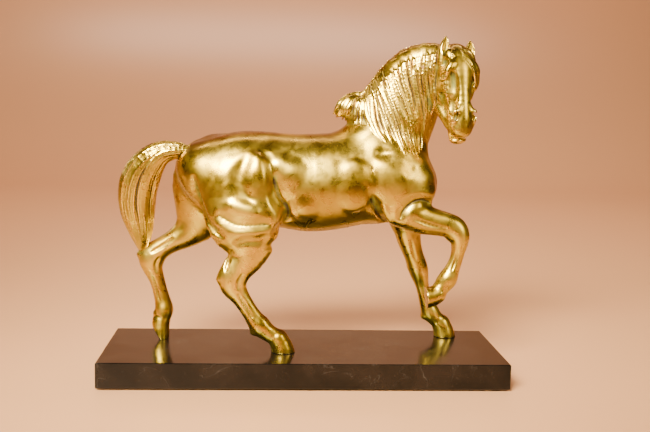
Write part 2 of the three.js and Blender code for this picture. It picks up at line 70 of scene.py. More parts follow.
class Finish:
    """A material and short ways to add nodes to it."""

    def __init__(self, name, **constants):
        self.material = bpy.data.materials.new(name)
        self.material.use_nodes = True
        self.tree = self.material.node_tree
        self.shader = self.tree.nodes["Principled BSDF"]
        for socket, value in constants.items():
            self.shader.inputs[socket.replace("_", " ")].default_value = value
        self.place = self.tree.nodes.new("ShaderNodeTexCoord").outputs["Object"]

    def put(self, socket, value):
        """A socket takes a link from another node's output, or a plain value."""
        if isinstance(value, bpy.types.NodeSocket):
            self.tree.links.new(value, socket)
        elif value is not None:
            socket.default_value = value

    def math(self, operation, a, b=None, c=None):
        node = self.tree.nodes.new("ShaderNodeMath")
        node.operation = operation
        for socket, value in zip(node.inputs, (a, b, c)):
            self.put(socket, value)
        return node.outputs[0]

    def fit(self, value, low, high, new_low=0.0, new_high=1.0):
        """A value carried smoothly from one range to another, and held at its ends."""
        node = self.tree.nodes.new("ShaderNodeMapRange")
        node.interpolation_type = "SMOOTHSTEP"
        for socket, item in zip(node.inputs, (value, low, high, new_low, new_high)):
            self.put(socket, item)
        return node.outputs[0]

    def stretched(self, scale, turn=(0, 0, 0)):
        node = self.tree.nodes.new("ShaderNodeMapping")
        self.put(node.inputs["Vector"], self.place)
        node.inputs["Scale"].default_value = scale
        node.inputs["Rotation"].default_value = turn
        return node.outputs[0]

    def noise(self, size, detail=3.0, rough=0.5, twist=0.0, at=None):
        """Cloudy noise whose features are about size metres across."""
        node = self.tree.nodes.new("ShaderNodeTexNoise")
        self.put(node.inputs["Vector"], at or self.place)
        node.inputs["Scale"].default_value = 1 / size
        node.inputs["Detail"].default_value = detail
        node.inputs["Roughness"].default_value = rough
        node.inputs["Distortion"].default_value = twist
        return node.outputs["Fac"]

    def layer(self, name):
        node = self.tree.nodes.new("ShaderNodeAttribute")
        node.attribute_name = name
        return node.outputs["Fac"]

    def blend(self, share, a, b):
        """Colour a where share is 0 and b where it is 1."""
        node = self.tree.nodes.new("ShaderNodeMix")
        node.data_type = "RGBA"
        self.put(node.inputs["Factor"], share)
        for socket, colour in zip(node.inputs[6:8], (a, b)):
            self.put(socket, (*colour, 1) if isinstance(colour, tuple) else colour)
        return node.outputs[2]

    def bump(self, *layers):
        """Bumps laid over each other: each is (height, distance in metres, strength)."""
        normal = None
        for value, distance, strength in layers:
            node = self.tree.nodes.new("ShaderNodeBump")
            node.inputs["Distance"].default_value = distance
            node.inputs["Strength"].default_value = strength
            self.put(node.inputs["Height"], value)
            self.put(node.inputs["Normal"], normal)
            normal = node.outputs[0]
        self.put(self.shader.inputs["Normal"], normal)

    def done(self, colour, rough, metal=None):
        self.put(self.shader.inputs["Base Color"], colour)
        self.put(self.shader.inputs["Roughness"], rough)
        self.put(self.shader.inputs["Metallic"], metal)
        return self.material


def facing(finish):
    """The upward part of the surface's own normal, from -1 to 1."""
    geometry = finish.tree.nodes.new("ShaderNodeNewGeometry")
    parts = finish.tree.nodes.new("ShaderNodeSeparateXYZ")
    finish.put(parts.inputs[0], geometry.outputs["Normal"])
    return parts.outputs[2]


GOLD_LIGHT = (0.90, 0.63, 0.065)
GOLD_MID = (0.47, 0.29, 0.016)
# Painted shade: the brown given to surfaces facing up, standing in for a dark reflection from above.
PAINTED_SHADE_BROWN = (0.17, 0.080, 0.008)
# Painted shade: the olive given to surfaces facing down, in place of their shadow and the floor's
# reflection.
PAINTED_UNDERSIDE_OLIVE = (0.43, 0.35, 0.030)
DARK_LACQUER = (0.055, 0.030, 0.012)
# Greenish patina for the wide hollows, also used as painted shade where parts crowd each other.
VERDIGRIS_AND_PAINTED_SHADE = (0.130, 0.145, 0.030)
GOLD_RUBBED = (1.0, 0.74, 0.16)


def aged_bronze():
    """Polished golden bronze in clouded tones, with painted shade: browner on surfaces facing up,
    olive on those facing down. Dark lacquer in its fine grooves, greenish in its wide hollows as
    patina and painted shade, and bright where it is rubbed.
    """
    f = Finish("aged_bronze")
    fine = f.layer("fine_hollow")
    wide = f.layer("wide_hollow")
    clouds = f.noise(0.045, 4, 0.55)
    patches = f.noise(0.014, 3, 0.6, 0.6)
    specks = f.noise(0.0016, 2, 0.5)
    gold = f.blend(f.fit(clouds, 0.35, 0.68), GOLD_MID, GOLD_LIGHT)
    upward = facing(f)
    # Painted shade: surfaces facing up turn browner, a painted reflection of a dark room above them.
    up = f.fit(upward, 0.30, 0.90)
    painted_top_shade = f.math("MULTIPLY", up, f.fit(clouds, 0.30, 0.62, 0.97, 0.55))
    gold = f.blend(painted_top_shade, gold, PAINTED_SHADE_BROWN)
    # Painted shade: surfaces facing down turn olive, as shaded undersides.
    low = f.math("MULTIPLY", f.fit(upward, 0.10, -0.45), 0.85)
    gold = f.blend(low, gold, PAINTED_UNDERSIDE_OLIVE)
    # Green in wide hollows: partly patina, partly painted shade for enclosed places such as the far
    # thigh.
    hollow = f.math("ADD", f.math("MULTIPLY", patches, 0.10), wide)
    patina_and_painted_shade = f.math("MULTIPLY", f.fit(hollow, 0.56, 0.70), f.fit(patches, 0.38, 0.58, 0.45, 0.95))
    colour = f.blend(patina_and_painted_shade, gold, VERDIGRIS_AND_PAINTED_SHADE)
    groove = f.fit(f.math("ADD", fine, f.math("MULTIPLY", patches, 0.06)), 0.56, 0.68)
    colour = f.blend(groove, colour, DARK_LACQUER)
    rubbed = f.fit(fine, 0.46, 0.38)
    colour = f.blend(f.math("MULTIPLY", rubbed, 0.75), colour, GOLD_RUBBED)
    dull = f.math("MAXIMUM", groove, patina_and_painted_shade)
    rough = f.fit(patches, 0.3, 0.7, 0.22, 0.34)
    rough = f.math("ADD", rough, f.math("MULTIPLY", specks, 0.05))
    rough = f.math("SUBTRACT", rough, f.math("MULTIPLY", rubbed, 0.08))
    rough = f.math("ADD", rough, f.math("MULTIPLY", dull, 0.25))
    metal = f.fit(dull, 0.2, 1.0, 1.0, 0.65)
    f.bump(
        (f.noise(0.011, 3, 0.5), 0.0004, 0.35),
        (f.noise(0.0022, 3, 0.6), 0.00008, 0.5),
    )
    return f.done(colour, rough, metal)


def bronze_rod():
    """Turned bronze rod, dulled, for the studs and pins."""
    f = Finish("bronze_rod", Metallic=1.0)
    turned = f.noise(0.0012, 2, 0.5, at=f.stretched((0.15, 0.15, 2.5)))
    stain = f.noise(0.006, 3)
    colour = f.blend(f.fit(stain, 0.35, 0.7), (0.52, 0.31, 0.10), (0.27, 0.14, 0.05))
    f.bump((turned, 0.00006, 0.6), (stain, 0.0001, 0.3))
    return f.done(colour, f.fit(turned, 0.3, 0.7, 0.28, 0.46))


def zinc_plate():
    """Zinc-plated steel with a cloudy passivated bloom."""
    f = Finish("zinc_plate", Metallic=1.0)
    bloom = f.noise(0.004, 4, 0.6)
    worn = f.noise(0.0009, 2, at=f.stretched((1, 1, 0.3)))
    colour = f.blend(f.fit(bloom, 0.35, 0.7), (0.55, 0.56, 0.56), (0.72, 0.69, 0.58))
    f.bump((worn, 0.00005, 0.5))
    return f.done(colour, f.fit(bloom, 0.3, 0.7, 0.30, 0.50))


def black_stone():
    """Polished black marble: faint brown clouds, a few grey hairlines, and tiny open grains."""
    f = Finish("black_stone", IOR=1.33)
    clouds = f.noise(0.05, 5, 0.6, 0.8)
    grain = f.noise(0.0016, 3, 0.7)
    warped = f.noise(0.09, 4, 0.5, 2.5)
    vein = f.fit(f.math("ABSOLUTE", f.math("SUBTRACT", warped, 0.5)), 0.006, 0.0)
    vein = f.math("MULTIPLY", vein, f.fit(clouds, 0.5, 0.7, 0.0, 0.35))
    colour = f.blend(f.fit(clouds, 0.35, 0.7), (0.0035, 0.003, 0.0025), (0.011, 0.007, 0.005))
    colour = f.blend(f.math("MULTIPLY", f.fit(grain, 0.62, 0.75), 0.4), colour, (0.05, 0.035, 0.028))
    colour = f.blend(vein, colour, (0.12, 0.10, 0.09))
    pits = f.fit(grain, 0.70, 0.80)
    rough = f.fit(clouds, 0.3, 0.7, 0.10, 0.20)
    rough = f.math("ADD", rough, f.math("MULTIPLY", pits, 0.35))
    f.bump((f.noise(0.03, 2), 0.00012, 0.3), (pits, 0.0001, 0.35))
    return f.done(colour, rough)


def green_felt():
    """Pressed wool felt: matted fibres lying every way."""
    f = Finish("green_felt", Sheen_Weight=0.5, Sheen_Roughness=0.5)
    fibres = [f.noise(0.0007, 3, 0.6, 1.2, at=f.stretched(scale, turn))
              for scale, turn in (((1, 0.15, 1), (0, 0, 0.4)), ((0.15, 1, 1), (0, 0, 1.1)))]
    matted = f.math("MAXIMUM", *fibres)
    colour = f.blend(f.fit(matted, 0.4, 0.75), (0.012, 0.045, 0.022), (0.045, 0.115, 0.058))
    f.bump((matted, 0.0004, 0.8))
    return f.done(colour, 0.95)


MATERIALS = {
    "bronze": aged_bronze(),
    "fixing_bronze": bronze_rod(),
    "black_stone": black_stone(),
    "zinc_steel": zinc_plate(),
    "felt": green_felt(),
}

# ------------------------------------------------------------------ distance fields


class Field:
    """Signed distances in millimetres on a lattice, negative inside the bronze."""

    EMPTY = 12.0
    # how far past its own edge a form is worked out
    MARGIN = 2.0

    def __init__(self, low, high, step):
        self.step = step
        self.first = np.floor(np.array(low) / step).astype(int)
        last = np.ceil(np.array(high) / step).astype(int)
        self.d = np.full(last - self.first + 1, self.EMPTY, np.float32)

    def window(self, low, high):
        """The part of the lattice between two corners, as slices, or None."""
        a = np.floor(np.array(low) / self.step).astype(int) - self.first
        b = np.ceil(np.array(high) / self.step).astype(int) + 1 - self.first
        a = np.clip(a, 0, self.d.shape)
        b = np.clip(b, 0, self.d.shape)
        if np.any(b <= a):
            return None
        return tuple(slice(i, j) for i, j in zip(a, b))

    def grid(self, cut):
        """Coordinates in millimetres of the lattice points in some slices."""
        axes = [(np.arange(s.start, s.stop) + f) * self.step for s, f in zip(cut, self.first)]
        return np.meshgrid(*[a.astype(np.float32) for a in axes], indexing="ij", sparse=True)

    def part(self, cut):
        """An empty field on the same lattice that covers only some slices of this one."""
        piece = object.__new__(Field)
        piece.step = self.step
        piece.first = self.first + [s.start for s in cut]
        piece.d = np.full([s.stop - s.start for s in cut], self.EMPTY, np.float32)
        return piece

    def join(self, cut, new, soft, carve=False):
        """Merges distances into the field, or carves them out, over a smoothed join."""
        old = -self.d[cut] if carve else self.d[cut]
        low = np.minimum(old, new)
        if soft > 0:
            h = np.clip(soft - np.abs(old - new), 0, None)
            low = low - h * h / (4 * soft)
        self.d[cut] = -low if carve else low

    def add(self, low, high, distance, soft, carve=False):
        """Merges or carves the form that a distance function gives between two corners."""
        margin = soft + self.MARGIN
        cut = self.window(np.array(low) - margin, np.array(high) + margin)
        if cut is not None:
            self.join(cut, distance(*self.grid(cut)), soft, carve)

    def sample(self, points, values=None):
        """The field, or another array on its lattice, at any points in millimetres."""
        values = self.d if values is None else values
        p = np.asarray(points) / self.step - self.first
        base = np.clip(np.floor(p).astype(int), 0, np.array(values.shape) - 2)
        f = np.clip(p - base, 0, 1)
        i, j, k = base.T
        total = np.zeros(len(p))
        for a, b, c in np.ndindex(2, 2, 2):
            weight = np.ones(len(p))
            for share, far in zip(f.T, (a, b, c)):
                weight = weight * (share if far else 1 - share)
            total += weight * values[i + a, j + b, k + c]
        return total

    def skin(self, points, toward, reach=60.0):
        """Points moved along a direction, from outside, until they lie on the bronze."""
        points = np.array(points, float)
        toward = unit(toward)
        steps = np.arange(-reach, reach, self.step * 0.5)
        rays = points[:, None, :] + steps[None, :, None] * toward
        inside = self.sample(rays.reshape(-1, 3)).reshape(len(points), -1) < 0
        first = np.where(inside.any(1), inside.argmax(1), len(steps) // 2)
        return points + steps[first][:, None] * toward


def unit(v):
    v = np.array(v, float)
    return v / max(np.linalg.norm(v), 1e-9)


def oval_distance(offsets, sizes):
    """Close to the distance from an oval with half-sizes, given offsets on its axes."""
    k0 = 0
    k1 = 0
    for q, s in zip(offsets, sizes):
        k0 = k0 + (q / s) ** 2
        k1 = k1 + (q / (s * s)) ** 2
    k0 = np.sqrt(k0)
    return k0 * (k0 - 1) / np.maximum(np.sqrt(k1), 1e-4)


def ball(field, centre, size, soft, carve=False, turn=((1, 0, 0), (0, 1, 0), (0, 0, 1))):
    """An egg with three half-sizes along the rows of turn."""
    turn = np.array(turn, float)
    reach = np.abs(turn.T) @ np.array(size, float)
    centre = np.array(centre, float)

    def distance(x, y, z):
        w = (x - centre[0], y - centre[1], z - centre[2])
        offsets = [w[0] * a[0] + w[1] * a[1] + w[2] * a[2] for a in turn]
        return oval_distance(offsets, size)

    field.add(centre - reach, centre + reach, distance, soft, carve)


def smooth_path(rows, count):
    """Points of a Catmull-Rom curve through rows of numbers, count to each interval."""
    rows = np.array(rows, float)
    ends = np.vstack([2 * rows[0] - rows[1], rows, 2 * rows[-1] - rows[-2]])
    out = []
    for a, b, c, d in zip(ends, ends[1:], ends[2:], ends[3:]):
        for t in np.arange(count) / count:
            out.append(0.5 * (2 * b + (c - a) * t + (2 * a - 5 * b + 4 * c - d) * t ** 2
                              + (3 * b - a - 3 * c + d) * t ** 3))
    return np.vstack([out, rows[-1:]])


def tube(field, stations, soft, side=(0, 1, 0), inner=1.5, detail=2, ridges=None, carve=False):
    """A limb, lock or muscle: an oval form through rows of x, y, z, half-depth, half-width.

    Half-width runs along side, and half-depth across side and the form. ridges is
    (count, height, phase) of fine ridges along the form, as strands of hair make.
    """
    rows = smooth_path(stations, detail)
    centre = rows[:, :3]
    radius = np.maximum(rows[:, 3:5], 0.25)
    along = np.array([unit(a) for a in np.gradient(centre, axis=0)])
    side = np.broadcast_to(np.array(side, float), along.shape)
    across = np.array([unit(s - a * (a @ s)) for s, a in zip(side, along)])
    deep = np.cross(along, across)
    margin = radius.max() + soft + Field.MARGIN
    cut = field.window(centre.min(0) - margin, centre.max(0) + margin)
    if cut is None:
        return
    own = field.part(cut)

    def between(table, i, t, offset):
        a, b = table[i], table[i + 1]
        return sum(q * (a[n] + t * (b[n] - a[n])) for n, q in enumerate(offset))

    def segment(i):
        a = centre[i]
        step = centre[i + 1] - a
        length = max(float(step @ step), 1e-8)

        def distance(x, y, z):
            w = (x - a[0], y - a[1], z - a[2])
            t = np.clip((w[0] * step[0] + w[1] * step[1] + w[2] * step[2]) / length, 0, 1)
            w = [q - t * s for q, s in zip(w, step)]
            u, v, s = (between(axes, i, t, w) for axes in (deep, across, along))
            ru, rv = (radius[i, n] + t * (radius[i + 1, n] - radius[i, n]) for n in (0, 1))
            d = oval_distance((u, v, s), (ru, rv, np.minimum(ru, rv)))
            if ridges:
                count, height, phase = ridges
                d = d + height * np.cos(count * np.arctan2(v / rv, u / ru) + phase)
            return d
        return distance

    for i in range(len(centre) - 1):
        low = np.minimum(centre[i], centre[i + 1]) - radius[i:i + 2].max()
        high = np.maximum(centre[i], centre[i + 1]) + radius[i:i + 2].max()
        own.add(low - soft, high + soft, segment(i), inner)
    field.join(cut, own.d, soft, carve)


def slice_off(field, point, normal, reach):
    """Cuts flat what lies beyond a plane, within reach of a point on it."""
    point = np.array(point, float)
    normal = unit(normal)
    cut = field.window(point - reach, point + reach)
    if cut is not None:
        beyond = sum((q - p) * n for q, p, n in zip(field.grid(cut), point, normal))
        field.d[cut] = np.maximum(field.d[cut], beyond)


# ------------------------------------------------------------------ landmarks of the horse
# Rows run along each part: x, y, z, half-depth, half-width, in millimetres.


def spine_y(x):
    return 8 + 0.055 * x


TRUNK = [
    (x, spine_y(x), (high + low) / 2, (high - low) / 2, half_width)
    for x, high, low, half_width in (
        (-121, 209, 184, 12), (-112, 215, 167, 26), (-96, 222, 146, 36), (-74, 228.5, 134, 40.5),
        (-48, 229, 131, 40.5), (-22, 227, 129, 40), (2, 227, 125, 42.5), (28, 228.5, 127.5, 43.5),
        (54, 232, 133, 41), (78, 231, 134, 37.5), (96, 224, 135, 34.5), (109, 212, 142, 30),
        (117, 200, 152, 23), (122, 188, 163, 12),
    )
]
NEAR_THIGH = [
    (-72, -12, 204, 28, 17), (-68, -17, 186, 41, 21.5), (-65, -21, 165, 44, 20),
    (-64, -24.5, 147, 42, 18), (-62, -26.5, 131, 37, 15.5), (-58.5, -26.5, 119, 29, 13),
]
NEAR_SHANK = [
    (-58, -26, 112, 23, 12), (-62, -26, 99, 16.5, 10.3), (-70.5, -26, 90, 15, 9),
    (-76, -26, 79.5, 14.5, 8.8), (-75.5, -26, 70, 12.5, 8.2), (-69, -26, 60, 9.2, 6.6),
    (-61, -26, 48, 8, 5.6), (-53.5, -26, 36.5, 8.3, 6), (-47, -26, 28, 10.2, 7.8),
    (-39, -26, 21, 8.2, 6.6), (-31, -25.5, 16.5, 8.2, 7.4),
]
NEAR_HIND_HOOF = [(-28.5, -25.3, 15, 9.8, 9), (-24.5, -25, 7, 11.2, 10.2), (-22, -25, -2, 12.4, 11.3)]
FAR_THIGH = [
    (-84, 16, 204, 31, 17), (-94, 21, 186, 44, 20.5), (-103, 25, 168, 41, 19.5),
    (-108, 28, 151, 35, 17.5), (-113, 30, 138, 28, 16), (-119, 31, 125, 20, 13.5),
]
FAR_SHANK = [
    (-119, 31, 125, 20, 13.5), (-132, 31, 114, 14, 11), (-146, 31, 106, 10.8, 9.8),
    (-159, 31, 97.5, 11.2, 9), (-166.5, 31, 88.5, 13, 8.8), (-165.5, 31, 78, 9.8, 8.2),
    (-161, 31, 66, 7.5, 6.6), (-157, 30.5, 52, 7.2, 5.6), (-154, 30.5, 40, 7.8, 6),
    (-152.5, 30.5, 31.5, 8.8, 7.8), (-154, 30.5, 24.5, 7.6, 6.8), (-156, 30.5, 19, 8, 7.4),
]
FAR_HIND_HOOF = [(-156, 30.4, 19, 9, 8.6), (-156.5, 30, 11, 9.4, 9.8), (-155, 30, 1, 8, 9.8)]
NEAR_SHOULDER = [
    (62, -2, 226, 14, 10), (78, -6, 205, 28, 16), (94, -9, 184, 34, 17.5),
    (103, -10, 165, 31, 17), (104, -11, 150, 19, 14.5),
]
NEAR_FOREARM = [
    (90, -12, 153, 16, 13), (104, -13, 148.5, 16.5, 13), (120, -12, 142.5, 15.6, 12.3),
    (134, -12, 139, 13.6, 10.6), (148, -12, 136, 12.2, 9.2), (158, -12, 132, 11.6, 9.4),
    (163, -12, 124, 10, 9.2), (163.5, -12, 115, 7.6, 7.6), (162, -12, 105, 6, 6),
    (159.5, -12, 95, 6.1, 5.6), (156, -12, 86, 7.2, 6), (152.5, -12, 77.5, 9.2, 7.8),
    (147, -12, 69.5, 7.8, 6.6), (142, -12.5, 63.5, 7.4, 6.8),
]
NEAR_FORE_HOOF = [(142, -12.5, 61, 9, 8.6), (136.5, -12.5, 58.5, 10.6, 10), (128, -12.5, 56.5, 11.8, 11)]
FAR_SHOULDER = [
    (66, 21, 226, 14, 10), (82, 28, 205, 26, 16), (98, 33, 184, 32, 17),
    (108, 35, 165, 27, 17), (111, 36.5, 147, 20, 15), (113, 37, 133, 16.5, 13),
]
FAR_FORELEG = [
    (112, 37, 140, 18, 13.5), (116, 38, 118, 13.4, 11), (119.5, 39, 105, 11, 10),
    (124, 40, 93, 9.8, 9.2), (128.8, 41, 80, 10.2, 9.4), (132, 42, 70, 8.6, 8),
    (135, 42.5, 59, 6.4, 5.9), (138.5, 43, 47, 6.6, 5.6), (142, 43.5, 36, 7.6, 6.2),
    (146, 44, 27.5, 9.2, 7.7), (152, 44.5, 20.5, 7.6, 6.6), (157, 45, 16.5, 8, 7.2),
]
FAR_FORE_HOOF = [(158.5, 45, 15, 9.8, 9), (161.5, 45, 7, 11.2, 10.2), (163.5, 45, -2, 12.4, 11.3)]
NECK = [
    (68, 12, 190, 44, 26), (80, 12, 214, 44.5, 25), (92, 12.5, 242, 42, 22.5),
    (100, 12.5, 261, 40, 20.5), (108, 11.5, 278, 37, 18.5), (117, 8.5, 291, 33, 16.5),
    (129, 2, 299, 28, 14.5), (140, -8, 302, 22, 13),
]
TAIL = [
    (-116, 1.5, 205, 6, 6.5), (-124, 1.4, 207, 5.2, 5.8), (-131, 1.7, 208.2, 5.6, 6),
    (-142, 2.3, 208.5, 7.5, 7), (-153, 3, 205.5, 10, 8.5), (-163, 4.5, 198, 13.5, 10),
    (-171.5, 7, 186, 17, 11), (-177.5, 10.5, 172, 18.4, 11.5), (-180, 14, 157, 17.5, 11.5),
    (-180, 17.5, 145, 16.5, 11), (-179, 21, 132, 14.4, 10.5), (-177.5, 25, 120, 12, 9.5),
    (-176.5, 28.5, 110, 9, 8), (-176, 30.5, 102, 6, 6.5),
]

# The head is set out in its own axes: down the face, out of the face, and to its left.
HEAD_ORIGIN = np.array((151.0, -13.0, 321.0))
HEAD_TURN = math.radians(-71)
HEAD_LEAN = math.radians(8)
FRONT = np.array((math.cos(HEAD_TURN), math.sin(HEAD_TURN), 0.0))
LEFT = np.array((-math.sin(HEAD_TURN), math.cos(HEAD_TURN), 0.0))
DOWN = np.array((0, 0, -1.0)) * math.cos(HEAD_LEAN) + FRONT * math.sin(HEAD_LEAN)
OUT = np.cross(DOWN, LEFT)
HEAD_AXES = np.array((DOWN, OUT, LEFT))


def head_point(down, out, left):
    return HEAD_ORIGIN + DOWN * down + OUT * out + LEFT * left


def head_ball(field, at, size, soft, carve=False):
    ball(field, head_point(*at), size, soft, carve, HEAD_AXES)


def head_tube(field, stations, soft, side=LEFT, **how):
    """A tube through rows of down, out, left, half-size out of the face, half-width."""
    rows = [(*head_point(d, o, l), a, b) for d, o, l, a, b in stations]
    tube(field, rows, soft, side=side, **how)


# ------------------------------------------------------------------ drawing on the skin

# The ways into the bronze from its near side and from its far side.
NEAR = (0, 1, 0)
FAR = (0, -1, 0)


def on_side(field, points, toward):
    """Points of a side view, x and z, laid on the near or the far side of the bronze."""
    flat = [(x, spine_y(x), z) for x, z in points]
    return field.skin(flat, toward)


def skin_line(field, path, toward, width, height, soft, start, thin, carve):
    """A line raised from the skin or carved into it, by height at the middle of its length.

    It is thin and low at its ends. start is how much of a half wave is left out at each end,
    and thin is the share of the width that the wave does not change.
    """
    share = np.sin(np.linspace(start, 1 - start, len(path)) * math.pi)
    radius = width * (thin + (1 - thin) * share)
    inward = height * share - radius
    sink = unit(toward) * (inward if carve else -inward)[:, None]
    tube(field, np.column_stack([path + sink, radius, radius]), soft, detail=1, carve=carve)


def crease(field, points, toward, width, depth, soft=2.0):
    """A groove with a line of x and z, deepest at the middle of its length."""
    path = smooth_path(on_side(field, points, toward), 4)
    skin_line(field, path, toward, width, depth, soft, 0.12, 0.45, carve=True)


def welt(field, points, toward, width, rise, soft=2.5):
    """A raised fold with a line of x and z."""
    path = smooth_path(on_side(field, points, toward), 4)
    skin_line(field, path, toward, width, rise, soft, 0.08, 0.4, carve=False)


def fold(field, points, toward, width, depth):
    """A crease with soft, sloping sides: a broad valley with a narrow groove along its bottom."""
    crease(field, points, toward, width, depth * 0.65, width * 0.9)
    crease(field, points, toward, width * 0.24, depth * 0.35, width * 0.22)


def swell(field, x, z, toward, size, rise, soft=8.0, hollow=False):
    """A low bulge, or a hollow, centred on a place of the side view."""
    at = on_side(field, [(x, z)], toward)[0]
    sign = -1 if hollow else 1
    centre = at + unit(toward) * (sign * (size[1] - rise))
    ball(field, centre, size, soft, hollow)


# ------------------------------------------------------------------ the figure


def merge_trunk(field):
    tube(field, TRUNK, 0, inner=4)
    tube(field, NECK, 14, inner=4)
    for thigh in (NEAR_THIGH, FAR_THIGH):
        tube(field, thigh, 9, inner=5)
    for shoulder in (NEAR_SHOULDER, FAR_SHOULDER):
        tube(field, shoulder, 12, inner=5)
    ball(field, (-113, spine_y(-113), 205), (15, 9, 8.5), 8)
    ball(field, (113, spine_y(113) - 12, 168), (12, 13, 17), 8)
    ball(field, (113, spine_y(113) + 12, 168), (11, 13, 17), 8)
    ball(field, (-90, 3, 121), (9, 7, 6.5), 5)


HOCK_POINTS = (
    [(-84, -26, 84, 4, 4), (-88.5, -26, 77.5, 4.4, 4.4)],
    [(-171, 31, 96, 4, 4), (-178, 31, 93, 4.4, 4.4)],
)
# The pisiform bones behind the two knees, then the tuft and ergot behind each fetlock.
KNOBS = (
    # centre, half-sizes, softness
    ((153, -12, 123.5), (4, 4.5, 5), 4),
    ((121.5, 41, 82), (3.6, 4.5, 5), 4),
    ((-53.5, -26, 21.5), (4, 4.5, 3.6), 3),
    ((-161, 30.5, 27), (3.6, 4.5, 4), 3),
    ((144.5, -12, 75.5), (3.6, 4.5, 4), 3),
    ((138.5, 44, 23.5), (4, 4.5, 3.8), 3),
)


def merge_legs(field):
    for stations, soft in ((NEAR_SHANK, 5), (FAR_SHANK, 4), (NEAR_FOREARM, 3.5), (FAR_FORELEG, 5)):
        tube(field, stations, soft, inner=3, detail=3)
    for stations in HOCK_POINTS:
        tube(field, stations, 4)
    for centre, size, soft in KNOBS:
        ball(field, centre, size, soft)


HOOVES = (
    # stations, middle of the sole, way out of the sole
    (NEAR_HIND_HOOF, (-22, -25, 0), (0, 0, -1)),
    (FAR_FORE_HOOF, (163, 45, 0), (0, 0, -1)),
    (FAR_HIND_HOOF, (-162, 30, 9), (-0.84, 0, -0.54)),
    (NEAR_FORE_HOOF, (129.8, -12.5, 57), (-0.97, 0, -0.1)),
)


def merge_hooves(field):
    """Each hoof, with a raised band round its top, cut flat at its sole."""
    for stations, sole, out in HOOVES:
        tube(field, stations, 1.2, inner=1)
        band = np.array(stations[0]) + (0, 0, 0, 0.5, 0.5)
        low = band * 0.82 + np.array(stations[1]) * 0.18
        tube(field, [band, low], 1.2, inner=0)
        slice_off(field, sole, out, 17)


def groove(field, points, toward, y, width, depth):
    """A crease on one limb only: y is the limb's middle, so that no other limb is met."""
    flat = [(x, y, z) for x, z in points]
    path = smooth_path(field.skin(flat, toward, reach=18), 4)
    skin_line(field, path, toward, width, depth, 1.2, 0.1, 0.5, carve=True)


LIMB_GROOVES = (
    # middle of the limb in y, points of x and z, half-width, depth
    (-26, [(-70, 62), (-63, 51), (-55.5, 39)], 1.5, 0.9),
    (-26, [(-78, 108), (-81, 98), (-83.5, 88)], 2.4, 1.5),
    (-26, [(-66, 84), (-70, 76), (-70, 68)], 1.8, 0.8),
    (31, [(-164, 68), (-160.5, 55), (-157.5, 43)], 1.4, 0.9),
    (31, [(-143, 112), (-154, 104), (-165, 97)], 2.4, 1.5),
    (31, [(-158, 90), (-161, 83), (-160, 75)], 1.8, 0.8),
    (43, [(131, 66), (134, 56), (138, 45)], 1.3, 0.8),
    (39, [(118, 112), (121, 100), (124, 90)], 2.0, 1.0),
    (-12, [(160.5, 108), (158.5, 98), (155, 88)], 1.3, 0.8),
    (-12, [(112, 143), (128, 137), (146, 132.5)], 2.2, 1.2),
)


def carve_legs(field):
    """Grooves between bone and tendon, and the hollows above the hocks."""
    for toward in (NEAR, FAR):
        for y, points, width, depth in LIMB_GROOVES:
            groove(field, points, toward, y, width, depth)


# The far hind leg reaches back, so the folds of the far flank are drawn this much further back.
FAR_SHIFT = -18


def carve_flank(field, toward, shift):
    """The folds of skin between thigh and belly, all moved by shift along the horse."""
    def line(*points):
        return [(x + shift, z) for x, z in points]

    fold(field, line((-45, 207), (-43, 199), (-38, 188), (-33, 175), (-28, 163), (-20, 152),
                     (-21, 140), (-29, 129)), toward, 8, 5)
    crease(field, line((-60, 202), (-67, 194), (-71, 184), (-69, 174), (-61, 165)), toward, 9, 0.7, 8)
    fold(field, line((-90, 145), (-74, 137), (-57, 136.5), (-40, 137)), toward, 6, 0.6)
    welt(field, line((-78, 156), (-65, 152), (-54, 149)), toward, 6, 0.4, 7)
    crease(field, line((-72, 117), (-61, 120), (-48, 120), (-44, 123)), toward, 4, 0.5, 5)
    for x, z, wide, high, rise in ((-29, 196, 9, 10, 0.8), (-17, 189, 11, 12, 1.2),
                                   (-4, 155, 13, 11, 1.4), (-52, 186, 13, 21, 1.2)):
        swell(field, x + shift, z, toward, (wide, 9, high), rise, 8)
    welt(field, line((-18, 160), (-14.5, 149), (-9, 143)), toward, 1.8, 1.2, 1.8)


def carve_shoulder(field, toward):
    crease(field, [(65, 197), (67, 189), (69, 181)], toward, 1.4, 1.3, 1.4)
    fold(field, [(58, 178), (66, 162), (72, 151), (79, 141), (87, 134)], toward, 6, 3.6)
    crease(field, [(76, 212), (90, 203), (103, 195)], toward, 8, 0.8, 7)
    swell(field, 86, 185, toward, (20, 8, 22), 1.6)
    swell(field, 48, 176, toward, (16, 7, 24), 1.0)


def carve_trunk(field):
    for toward, shift in ((NEAR, 0), (FAR, FAR_SHIFT)):
        carve_flank(field, toward, shift)
        carve_shoulder(field, toward)
    # the back edge of the near thigh, over the far one
    crease(field, [(-118, 182), (-114, 164), (-102.5, 137), (-88, 124)], NEAR, 4, 2.2, 3.5)
    # the fold where the raised forearm leaves the chest
    fold(field, [(129, 160), (120, 163), (110, 161), (101, 153), (97, 144)], NEAR, 5, 3.6)
    welt(field, [(80, 158), (83, 149), (88, 140)], NEAR, 3.4, 1.2, 3)


def figure(field):
    """All of the smooth bronze, in whatever part of it the field covers."""
    merge_trunk(field)
    merge_legs(field)
    merge_hooves(field)
    carve_trunk(field)
    carve_legs(field)


# ------------------------------------------------------------------ from field to mesh

CORNERS = np.array([(a, b, c) for a in (0, 1) for b in (0, 1) for c in (0, 1)])
CELL_EDGES = [(p, q) for p in range(8) for q in range(p + 1, 8)
              if np.abs(CORNERS[p] - CORNERS[q]).sum() == 1]


def apart(axis, gap):
    """Slices that leave out the first gap layers of a lattice along an axis, or the last ones."""
    ahead = [slice(None)] * 3
    behind = [slice(None)] * 3
    ahead[axis] = slice(gap, None)
    behind[axis] = slice(None, -gap)
    return tuple(ahead), tuple(behind)


